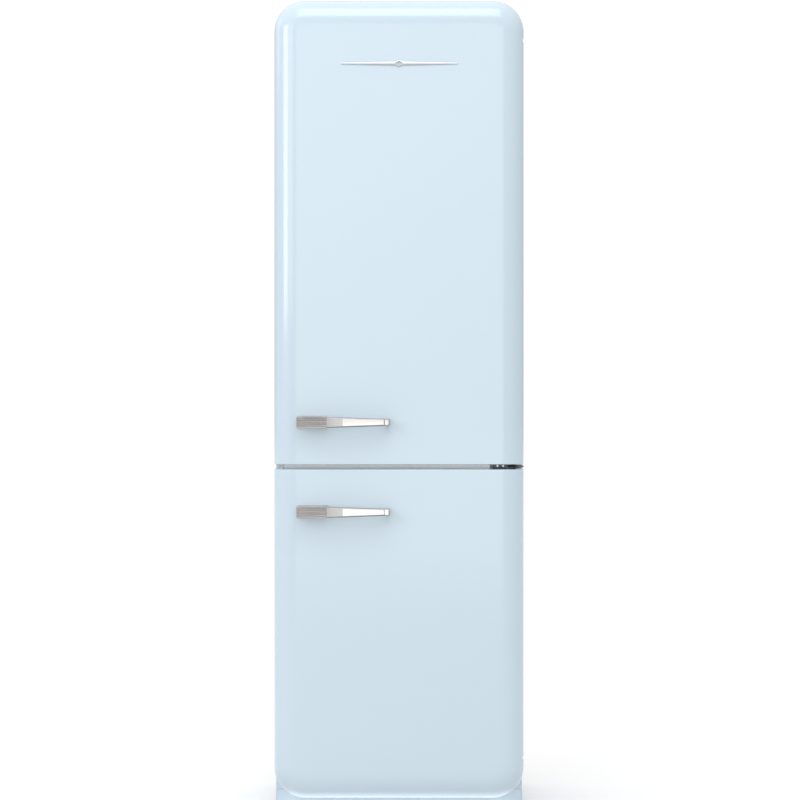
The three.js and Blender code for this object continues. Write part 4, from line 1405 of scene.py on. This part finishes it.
@dataclass
class Cabinet:
    """The fixed box: shell, linings, back, rail, plinth and base."""

    body: str = "cabinet"
    room: float = 0.2
    sheet: float = 0.0008
    screw_heights: tuple[float, ...] = (0.30, 0.62, 0.94, 1.26, 1.58, 1.86)
    screw_columns: tuple[float, ...] = (-0.15, 0.0, 0.15)
    screw_inset: float = 0.012
    screw_head: float = 0.0042
    grooves: tuple[float, ...] = (-0.0145, -0.0025, 0.0025, 0.0145)

    def shell(self) -> None:
        """The enamelled shell with folded front edges."""
        carry_over("cabinet_shell", "cabinet_wrap", self.body, ENAMEL, 0.0005, 2, 40)

    def linings(self) -> None:
        """The white linings of both compartments."""
        for room in ("fridge", "freezer"):
            carry_over(f"{room}_liner", f"{room}_lining", self.body, LINING, 0.0011)

    def back(self) -> None:
        """The zinc back panel and its screws."""
        low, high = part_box("back_panel")
        carry_over("back_panel", "back_sheet", self.body, ZINC, 0.0004, 2, 40)
        inset = self.screw_inset
        spots = [(x, z) for x in (low.x + inset, high.x - inset) for z in self.screw_heights]
        spots += [(x, z) for z in (low.z + inset, high.z - inset - 0.002)
                  for x in self.screw_columns]
        for i, (x, z) in enumerate(spots):
            head = screw(f"back_screw_{i + 1}", (x, high.y, z), self.screw_head, -1)
            fit(head, self.body, SCREW)

    def machine_room(self) -> None:
        """The bent sheet that lines the room for the compressor."""
        low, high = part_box("back_panel")
        wide, front, roof = high.x - 0.0006, high.y - self.room, low.z - 0.0006
        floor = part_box("base_frame")[1].z - 0.0035
        piece = block("machine_room_sheet", (-wide, front + 0.0004, floor),
                      (wide, front + 0.0004 + self.sheet, roof - self.sheet))
        with editing(piece):
            pick(piece, Part.FACE, faces_to((0, 0, 1)))
            extrude(0, 0, self.sheet)
            pick(piece, Part.FACE, lambda f: f.normal.y > 0.99
                 and f.calc_center_median().z > roof - 0.001)
            extrude(0, self.room - 0.004, 0)
        soften(piece, 0.0003, 2, 40)
        fit(piece, self.body, ZINC)

    def rail(self) -> None:
        """The grooved rail between the doors, with a white pad at each end."""
        low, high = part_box("mid_rail")
        piece = taken("mid_rail", "grooved_rail")
        middle = (low.z + high.z) / 2
        for shift in self.grooves:
            carve(piece, block("groove", (low.x - 0.01, low.y - 0.001, middle + shift - 0.0007),
                               (high.x + 0.01, low.y + 0.0006, middle + shift + 0.0007)))
        soften(piece, 0.0002, 2, 40)
        fit(piece, self.body, RAIL, "mid_rail")
        for side in ("left", "right"):
            carry_over(f"mid_rail_cap_{side}", f"rail_pad_{side}", self.body, PAD, 0.0008)

    def base(self) -> None:
        """The plinth below the lower door and the base channel behind it."""
        carry_over("plinth", "plinth_strip", self.body, ENAMEL, 0.0006)
        carry_over("base_frame", "base_channel", self.body, ZINC, 0.0003, 2)

    def build(self) -> None:
        """Models every piece of the cabinet."""
        self.shell()
        self.linings()
        self.back()
        self.machine_room()
        self.rail()
        self.base()


@dataclass
class Hinges:
    """The top, middle and bottom hinge, with their screws."""

    body: str = "cabinet"
    plate_depth: float = 0.003
    end_inset: float = 0.011
    middle_head: float = 0.0042
    middle_screws: tuple[tuple[float, float], ...] = (
        (0.0105, 0.0), (0.0245, 0.0), (0.014, 0.019), (0.014, -0.019),
        (0.040, 0.019), (0.040, -0.019))

    def end(self, end: str) -> None:
        """The hinge at one end of the cabinet.

        Args:
            end: Top or bottom.
        """
        node = f"{end}_hinge"
        low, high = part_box(node)
        carry_over(node, f"{end}_hinge_bracket", self.body, HINGE, 0.0005)
        front = high.y - self.plate_depth
        for i, z in enumerate((low.z + self.end_inset, high.z - self.end_inset)):
            head = screw(f"{end}_hinge_screw_{i + 1}", ((low.x + high.x) / 2, front, z))
            fit(head, self.body, SCREW)

    def middle(self) -> None:
        """The hinge between the doors: plate, leaf, both pins and six screws."""
        low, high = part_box("middle_hinge")
        carry_over("middle_hinge", "middle_hinge_bracket", self.body, HINGE, 0.0005)
        front = high.y - self.plate_depth
        level = (low.z + high.z) / 2
        for i, (along, up) in enumerate(self.middle_screws):
            head = screw(f"middle_hinge_screw_{i + 1}", (low.x + along, front, level + up),
                         self.middle_head)
            fit(head, self.body, SCREW)

    def build(self) -> None:
        """Models all three hinges."""
        self.end("top")
        self.middle()
        self.end("bottom")


@dataclass
class Stands:
    """The levelling feet in front and the rollers behind."""

    pitch: float = 0.0018
    thread_start: float = 0.02
    thread_root: float = 0.0044
    thread_crest: float = 0.0049
    notches: int = 24
    nut: float = 0.0098

    def foot(self, side: str) -> None:
        """A foot: a ribbed pad, a nut and a threaded stem.

        Args:
            side: Left or right.
        """
        node = f"foot_{side}"
        low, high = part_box(node)
        centre = ((low.x + high.x) / 2, (low.y + high.y) / 2, 0.0)
        wide = (high.x - low.x) / 2
        profile = [(0, 0.0), (wide - 0.003, 0.0), (wide - 0.0008, 0.0008), (wide, 0.0024),
                   (wide, 0.0078), (wide - 0.0012, 0.0092), (0.012, 0.0105), (0.009, 0.0125),
                   (0.0048, 0.013)]
        z = self.thread_start
        while z < high.z - 0.003:
            profile += [(self.thread_root, z), (self.thread_crest, z + self.pitch / 2)]
            z += self.pitch
        profile += [(0.0042, high.z - 0.0008), (0.0036, high.z), (0, high.z)]
        pad = turned(f"{node}_pad", profile, centre, steps=36)
        notch = block("notch", (centre[0] - 0.0012, low.y - 0.01, 0.0022),
                      (centre[0] + 0.0012, low.y + 0.0009, 0.0081))
        with editing(notch):
            pick_all()
            for _ in range(self.notches - 1):
                bpy.ops.mesh.duplicate()
                bpy.ops.transform.rotate(value=2 * math.pi / self.notches, orient_axis="Z",
                                         center_override=centre)
        carve(pad, notch)
        nut = drum(f"{node}_nut", self.nut, (centre[0], centre[1], 0.0165), 0.007, Axis.Z, 6)
        soften(nut, 0.0006, 2)
        piece = gather(f"{node}_levelling", [pad, nut])
        fit(piece, f"{side}_foot", BLACK_PLASTIC, node)

    def roller(self, side: str) -> None:
        """A rear roller with its axle."""
        node = f"roller_{side}"
        carry_over(node, f"{node}_wheel", f"{side}_roller", BLACK_PLASTIC, 0.0009)

    def build(self) -> None:
        """Models both feet and both rollers."""
        for side in ("left", "right"):
            self.foot(side)
            self.roller(side)


# ---------------------------------------------------------------- cooling


@dataclass
class Cooling:
    """What cools: compressor, tray, condenser, inlet, evaporator, its cover, fan and duct."""

    body: str = "cabinet"
    tube: float = 0.0062
    passes: int = 15
    wire: float = 0.0015
    wire_pitch: float = 0.0155
    margin: float = 0.012
    lead: float = 0.03
    lug_half_span: float = 0.1558
    mount: tuple[float, float] = (0.09, 0.05)
    fin: float = 0.0006
    fin_pitch: float = 0.0068
    rows: int = 6

    def condenser(self) -> None:
        """The tube that runs to and fro, with upright wires welded on both sides."""
        low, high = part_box("condenser")
        first, last = low.z + self.margin, high.z - self.margin
        pitch = (last - first) / (self.passes - 1)
        middle = (low.y + high.y) / 2
        left, right = low.x + self.tube / 2, high.x - self.tube / 2
        points = []
        for i in range(self.passes):
            z = first + i * pitch
            ends = [(left, middle, z), (right, middle, z)]
            points += ends if i % 2 == 0 else ends[::-1]
        points[0] = (left + self.lead, middle, first)
        points[-1] = (points[-1][0] - math.copysign(self.lead, points[-1][0]), middle, last)
        parts = [pipe("condenser_tube", points, self.tube, pitch / 2, 3)]
        wires = int((high.x - low.x - 0.10) / self.wire_pitch)
        start = -wires / 2 * self.wire_pitch
        for sign in (-1, 1):
            y = middle + sign * (self.tube + self.wire) / 2
            seed = pipe("condenser_wire", [(start, y, first - 0.008), (start, y, last + 0.008)],
                        self.wire, 0.0, 0)
            parts.append(seed)
            parts += [copy_of(seed, "condenser_wire", (i * self.wire_pitch, 0, 0))
                      for i in range(1, wires + 1)]
        for x in (-self.lug_half_span, self.lug_half_span):
            for z in (first - 0.002, last - 0.006):
                parts.append(soften(block("condenser_lug", (x - 0.010, low.y, z - 0.006),
                                          (x + 0.010, high.y, z + 0.010)), 0.001))
        piece = gather("condenser_grille", parts)
        fit(piece, self.body, BLACK_PAINT, "condenser")

    def compressor(self) -> None:
        """The welded pot on its saddle with rubber feet, terminal box and pipe stubs."""
        low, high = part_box("compressor")
        centre = Vector(((low.x + high.x) / 2, (low.y + high.y) / 2, low.z))
        tall = high.z - low.z
        profile = [(0, 0.014), (0.050, 0.014), (0.064, 0.020), (0.0725, 0.034), (0.0745, 0.060),
                   (0.0745, 0.090), (0.0785, 0.0915), (0.0785, 0.0955), (0.0745, 0.097),
                   (0.0735, 0.128), (0.066, 0.156), (0.050, 0.174), (0.026, tall - 0.0015),
                   (0, tall)]
        pot = turned("compressor_pot", profile, centre, steps=56)
        with editing(pot):
            pick_all()
            bpy.ops.transform.resize(value=(1.12, 1.0, 1.0), center_override=centre)
        saddle = block("saddle", (low.x, centre.y - 0.062, low.z + 0.008),
                       (high.x, centre.y + 0.062, low.z + 0.0105))
        with editing(saddle):
            pick(saddle, Part.EDGE, edges_along(2))
            round_off(0.018, 6)
            pick(saddle, Part.FACE, faces_to((0, 0, 1)))
            bpy.ops.mesh.inset(thickness=0.007, depth=0.0)
            bpy.ops.mesh.inset(thickness=0.004, depth=0.004)
        parts = [pot, soften(saddle, 0.0006, 2)]
        grommet = turned("grommet", [(0, 0.0), (0.009, 0.0), (0.009, 0.005), (0.0065, 0.0065),
                                     (0.0065, 0.0085), (0.0085, 0.0105), (0.0085, 0.0165),
                                     (0.004, 0.018), (0, 0.018)], centre, steps=28)
        along, across = self.mount
        for x, y in ((-along, -across), (along, -across), (-along, across), (along, across)):
            parts.append(copy_of(grommet, "grommet", (x, y, 0)))
        bpy.data.objects.remove(grommet)
        box = block("terminal_box", (high.x - 0.040, centre.y - 0.030, low.z + 0.045),
                    (high.x - 0.004, centre.y + 0.030, low.z + 0.105))
        parts.append(soften(box, 0.004, 4))
        for y in (-0.045, 0.045):
            parts.append(pipe("stub", [
                (centre.x - 0.055, centre.y + y * 0.8, low.z + 0.060),
                (low.x + 0.008, centre.y + y * 0.8, low.z + 0.060),
                (low.x + 0.008, centre.y + y * 0.8, low.z + 0.128)], 0.0075, 0.016, 4))
        fit(gather("compressor_unit", parts), self.body, BLACK_PAINT, "compressor")

    def lines(self) -> None:
        """The hot line up to the condenser, the cold line into the wall and the drain hose."""
        low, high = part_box("compressor")
        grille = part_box("condenser")
        middle = (grille[0].y + grille[1].y) / 2
        centre = (low.y + high.y) / 2
        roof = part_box("back_panel")[0].z
        end = grille[0].x + self.tube / 2 + self.lead
        stub = (low.x + 0.008, centre - 0.036, low.z + 0.126)
        hot = pipe("hot_line", [
            stub, (stub[0], stub[1], stub[2] + 0.030), (end, stub[1] + 0.03, stub[2] + 0.034),
            (end, middle - 0.03, stub[2] + 0.040), (end, middle, roof - 0.02),
            (end, middle, grille[0].z + self.margin)], 0.0055, 0.022, 4)
        cold = pipe("cold_line", [
            (stub[0], centre + 0.036, stub[2]), (stub[0], centre + 0.036, stub[2] + 0.045),
            (stub[0] - 0.02, centre + 0.05, stub[2] + 0.05),
            (stub[0] - 0.02, centre + 0.05, roof - 0.001)], 0.0075, 0.018, 4)
        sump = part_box("drip_tray")[0].z
        hose = pipe("drain_hose", [
            (0.0, centre - 0.03, sump + 0.012), (0.0, centre - 0.03, roof - 0.001)],
            0.014, 0.0, 5)
        for piece, finish in ((hot, BLACK_PAINT), (cold, BLACK_PAINT), (hose, BLACK_PLASTIC)):
            fit(piece, self.body, finish)

    def tray(self) -> None:
        """The tray on the compressor that catches the defrost water."""
        low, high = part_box("drip_tray")
        piece = tub("defrost_tray", low, high, 0.0024, 0.012)
        fit(soften(piece, 0.0006, 2), self.body, LINING, "drip_tray")

    def inlet(self) -> None:
        """The mains inlet: a rounded housing, its recess and three flat blades."""
        low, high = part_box("power_inlet")
        middle = (low + high) / 2
        piece = soften(taken("power_inlet", "mains_inlet"), 0.0012)
        blades = [block("blade", (middle.x + x - 0.002, low.y + 0.004, middle.z + z - 0.001),
                        (middle.x + x + 0.002, high.y - 0.002, middle.z + z + 0.001))
                  for x, z in ((-0.007, -0.002), (0.007, -0.002), (0.0, 0.003))]
        fit(piece, self.body, BLACK_PLASTIC, "power_inlet")
        fit(soften(gather("mains_inlet_blades", blades), 0.0003, 2), self.body, SCREW)

    def inside(self) -> None:
        """The evaporator with its cover and fan, and the air duct of the fridge."""
        carry_over("evaporator_cover", "evaporator_front", self.body, LINING, 0.0008)
        carry_over("air_duct", "air_channel", self.body, LINING, 0.0022, 4)
        carry_over("fan_rotor", "fan_wheel", "fan_rotor_body", BLACK_PLASTIC, 0.0004, 2)
        low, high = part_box("evaporator")
        plate = round_corners(block("fin", low, (low.x + self.fin, high.y, high.z)), 0, 0.003, 2)
        count = int((high.x - low.x) / self.fin_pitch)
        parts = [plate] + [copy_of(plate, "fin", (i * self.fin_pitch, 0, 0))
                           for i in range(1, count)]
        for y in (low.y + 0.010, high.y - 0.010):
            points = []
            for i in range(self.rows):
                z = low.z + 0.018 + i * (high.z - low.z - 0.036) / (self.rows - 1)
                ends = [(low.x + 0.004, y, z), (high.x - 0.004, y, z)]
                points += ends if i % 2 == 0 else ends[::-1]
            parts.append(pipe("evaporator_tube", points, 0.008, 0.014, 3))
        fit(gather("evaporator_core", parts), self.body, FOIL, "evaporator")

    def build(self) -> None:
        """Models every cooling piece."""
        self.condenser()
        self.compressor()
        self.lines()
        self.tray()
        self.inlet()
        self.inside()


# ---------------------------------------------------------------- inside the fridge


@dataclass
class Shelving:
    """Glass shelves with their trims, the crisper cover and the bottle rack."""

    body: str = "cabinet"

    def pane(self, node: str, name: str) -> None:
        """A sheet of safety glass with ground edges.

        Args:
            node: The frame's node.
            name: The piece's name.
        """
        low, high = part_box(node)
        piece = block(name, low, high)
        with editing(piece):
            pick(piece, Part.EDGE, edges_along(2))
            round_off(0.004, 5)
            pick(piece, Part.EDGE, lambda e: abs(e.verts[0].co.z - e.verts[1].co.z) < 1e-6)
            round_off(0.0008, 2)
        fit(piece, self.body, GLASS, node)

    def build(self) -> None:
        """Models the shelves, the trims, the cover and the rack."""
        for i in (1, 2):
            self.pane(f"shelf_glass_{i}", f"glass_shelf_{i}")
            carry_over(f"shelf_trim_{i}", f"shelf_edge_{i}", self.body, CHROME, 0.0009, 4)
        self.pane("crisper_cover", "crisper_glass")
        fit(taken("bottle_rack", "wire_bottle_rack"), self.body, CHROME, "bottle_rack", smooth=60)


@dataclass
class Controls:
    """The housing at the top of the fridge with its lamp lens and thermostat knob."""

    body: str = "cabinet"
    ribs: int = 24
    knob_seat: float = -0.0976

    def build(self) -> None:
        """Models housing, lens and knob."""
        carry_over("control_housing", "lamp_housing", self.body, LINING, 0.0024, 4)
        low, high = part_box("lamp_lens")
        lens = block("lamp_diffuser", low, high)
        step = (high.x - low.x - 0.012) / self.ribs
        round_corners(lens, 2, 0.003, 4)
        ribs = block("rib", (low.x + 0.006, low.y + 0.006, low.z - 0.0002),
                     (low.x + 0.006 + step * 0.45, high.y - 0.006, low.z + 0.0007))
        with editing(ribs):
            pick_all()
            for _ in range(self.ribs - 1):
                bpy.ops.mesh.duplicate()
                bpy.ops.transform.translate(value=(step, 0, 0))
        carve(lens, ribs)
        fit(lens, self.body, FROST, "lamp_lens")
        self.knob()

    def knob(self) -> None:
        """The knob: a skirt and a grip bar with a pointer line."""
        low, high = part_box("thermostat_knob")
        centre = ((low.x + high.x) / 2, 0.0, (low.z + high.z) / 2)
        wide = (high.x - low.x) / 2
        rear = self.knob_seat
        skirt = turned("knob_skirt", [
            (0, -0.009), (0.0028, -0.009), (0.0028, 0.0), (wide - 0.0006, 0.0), (wide, 0.0008),
            (wide, 0.0044), (wide - 0.0018, 0.0064), (0, 0.0068)],
            (centre[0], rear, centre[2]), Axis.Y, 48)
        bar = block("knob_bar", (centre[0] - 0.0032, low.y, centre[2] - wide + 0.003),
                    (centre[0] + 0.0032, rear - 0.0055, centre[2] + wide - 0.003))
        soften(bar, 0.0014, 4)
        line = block("pointer", (centre[0] - 0.0006, low.y - 0.001, centre[2] + 0.003),
                     (centre[0] + 0.0006, low.y + 0.0005, centre[2] + wide - 0.005))
        carve(bar, line)
        weld(skirt, bar)
        fit(skirt, "thermostat_knob_body", LINING, "thermostat_knob")


@dataclass
class Tubs:
    """Everything that slides or lifts out: door bins, dairy lid, crisper, freezer drawers."""

    wall: float = 0.0024
    corner: float = 0.014
    crisper_grip: tuple[float, float] = (0.08, 0.012)
    freezer_grip: tuple[float, float] = (0.09, 0.014)

    def bin(self, node: str, name: str) -> None:
        """An open door bin with rounded corners and a rounded rim.

        Args:
            node: The frame's node.
            name: The piece's name.
        """
        low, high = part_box(node)
        piece = soften(tub(name, low, high, self.wall, self.corner), 0.0008, 3)
        fit(piece, f"{node}_body", CLEAR, node)

    def dairy(self) -> None:
        """The dairy bin with its ears, and its lid on two pins."""
        carry_over("dairy_bin", "dairy_tub", "dairy_bin_body", CLEAR, 0.0008)
        carry_over("dairy_lid", "dairy_flap", "dairy_lid_body", FROST, 0.0008)

    def drawer(self, node: str, name: str, grip: float, drop: float) -> None:
        """A drawer: a tub with a thicker front and a finger recess.

        Args:
            node: The frame's node.
            name: The piece's name.
            grip: Half the width of the recess.
            drop: How far below the rim the recess starts.
        """
        low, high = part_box(node)
        piece = tub(name, low, high, self.wall, self.corner)
        front = block("front", (low.x + 0.012, low.y + 0.0004, low.z + 0.012),
                      (high.x - 0.012, low.y + 0.0062, high.z - 0.0015))
        soften(front, 0.0018, 3)
        weld(piece, front)
        recess = block("recess", (-grip, low.y - 0.001, high.z - drop - 0.024),
                       (grip, low.y + 0.0042, high.z - drop))
        carve(piece, round_corners(recess, 1, 0.009, 6))
        soften(piece, 0.0007, 3)
        fit(piece, f"{node}_body", FROST, node)

    def build(self) -> None:
        """Models bins, lid, crisper and drawers."""
        self.bin("bottle_bin", "bottle_tub")
        self.bin("middle_bin", "middle_tub")
        self.dairy()
        self.drawer("crisper_drawer", "crisper_tub", *self.crisper_grip)
        for i in (1, 2, 3):
            self.drawer(f"freezer_drawer_{i}", f"freezer_tub_{i}", *self.freezer_grip)


# ---------------------------------------------------------------- stage


@dataclass(frozen=True)
class Softbox:
    """One soft rectangular light: where it stands, what it points at, its size and its glow."""

    name: str
    place: Triple
    aim: Triple
    size: tuple[float, float]
    glow: float

    def build(self) -> None:
        """Sets the light up, unseen by the camera."""
        data = bpy.data.lights.new(self.name, "AREA")
        data.shape = "RECTANGLE"
        data.size, data.size_y = self.size
        data.energy = self.glow * math.pi * self.size[0] * self.size[1]
        lamp = placed(self.name, data)
        lamp.location = self.place
        way = Vector(self.aim) - Vector(self.place)
        lamp.rotation_euler = way.to_track_quat("-Z", "Y").to_euler()
        lamp.visible_camera = False


SOFTBOXES = (
    Softbox("strip_left", (-3.0, -3.0, 2.2), (0.0, -0.3, 1.6), (1.3, 1.8), 3.5),
    Softbox("soft_left", (-2.1, -4.1, 2.25), (0.0, -0.3, 1.6), (1.1, 1.8), 1.1),
    Softbox("strip_top", (0.0, -2.5, 4.2), (0.0, -0.3, 1.8), (2.2, 1.8), 2.2),
    Softbox("side_left", (-4.2, 0.2, 3.2), (0.0, 0.0, 1.6), (2.4, 2.0), 0.8),
    Softbox("low_glow", (0.0, -0.265, 0.012), (0.0, -0.265, 1.0), (0.58, 0.085), 0.95),
    Softbox("front", (0.35, -9.6, 1.7), (0.05, -0.3, 0.8), (4.0, 3.8), 1.0),
)


@dataclass
class Studio:
    """A wide pale floor, a soft sky, a few soft lights and the camera."""

    edge: float = field(default_factory=lambda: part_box("upper_door_skin")[0].y + 0.044)
    view_height: float = 1.928
    middle: Triple = (0.0024, 0.0, 1.0064)
    distance: float = 6.7
    sky: float = 0.56
    zenith: float = 1.2
    bounce: float = 0.64

    def floor(self) -> None:
        """A wide round floor in plain pale paper, which throws little light back up."""
        bpy.ops.object.select_all(action="DESELECT")
        bpy.ops.mesh.primitive_circle_add(vertices=96, radius=60, fill_type="NGON",
                                          location=(0, 0, 0))
        paper = bpy.context.object
        paper.name = "studio_paper"
        graph = Graph("studio_paper")
        tone = graph.noise(0.8, 2.0)
        graph.set(Base_Color=graph.blend(tone, (0.86, 0.86, 0.86), (0.88, 0.88, 0.88)),
                  Roughness=0.9, Emission_Color=(1.0, 1.0, 1.0), Emission_Strength=0.15)
        graph.shader.inputs["Specular IOR Level"].default_value = 0.1
        dull = graph.node("ShaderNodeBsdfDiffuse", {}, {"Color": (self.bounce,) * 3})
        path = graph.node("ShaderNodeLightPath")
        mixed = graph.node("ShaderNodeMixShader", {}, {
            0: path.outputs["Is Diffuse Ray"], 1: graph.shader.outputs[0], 2: dull.outputs[0]})
        graph.feed(graph.tree.nodes["Material Output"].inputs["Surface"], mixed.outputs[0])
        paper.data.materials.append(graph.material)

    def surroundings(self) -> None:
        """A sky that is white where the camera sees it and softer where it lights."""
        world = bpy.data.worlds.new("studio_sky")
        world.use_nodes = True
        tree = world.node_tree
        way = tree.nodes.new("ShaderNodeTexCoord")
        split = tree.nodes.new("ShaderNodeSeparateXYZ")
        lift = tree.nodes.new("ShaderNodeMapRange")
        lift.inputs["To Min"].default_value = self.sky
        lift.inputs["To Max"].default_value = self.zenith
        tree.links.new(way.outputs["Generated"], split.inputs[0])
        tree.links.new(split.outputs[2], lift.inputs["Value"])
        path = tree.nodes.new("ShaderNodeLightPath")
        share = tree.nodes.new("ShaderNodeMapRange")
        share.inputs["To Max"].default_value = 1.1
        tree.links.new(lift.outputs[0], share.inputs["To Min"])
        tree.links.new(path.outputs["Is Camera Ray"], share.inputs["Value"])
        back = tree.nodes["Background"]
        back.inputs[0].default_value = (1.0, 1.0, 1.0, 1.0)
        tree.links.new(share.outputs[0], back.inputs[1])
        bpy.context.scene.world = world
        bpy.context.scene.view_settings.view_transform = "Standard"

    def camera(self) -> None:
        """A long lens straight in front of the doors."""
        data = bpy.data.cameras.new("camera")
        data.sensor_width = 36.0
        data.lens = data.sensor_width * self.distance / self.view_height
        data.clip_end = 200.0
        camera = placed("camera", data)
        camera.location = (self.middle[0], self.edge - self.distance, self.middle[2])
        camera.rotation_euler = (math.pi / 2, 0.0, 0.0)
        bpy.context.scene.camera = camera

    def build(self) -> None:
        """Sets up floor, lights, sky and camera."""
        self.floor()
        self.surroundings()
        for light in SOFTBOXES:
            light.build()
        self.camera()


def dress_frame() -> None:
    """Gives every node of the frame the finish of its slot."""
    slots = {s["node"]: s["material_slot"] for s in frame["record"]["subparts"]}
    for node, piece in frame["nodes"].items():
        dress(piece, CAD_FINISH[slots[node]])


def main() -> None:
    """Builds the studio and every sub-assembly."""
    logging.basicConfig(level=logging.INFO, format="%(message)s")
    dress_frame()
    Studio().build()
    units = [
        Door("upper_door", Side.TOP), Door("lower_door", Side.BOTTOM),
        Handle("upper_door", "upper_handle"), Handle("lower_door", "lower_handle"), Ornament(),
        Cabinet(), Hinges(), Stands(), Cooling(), Shelving(), Controls(), Tubs(),
    ]
    for unit in units:
        log.info("building %s", type(unit).__name__)
        unit.build()


if __name__ == "__main__":
    main()
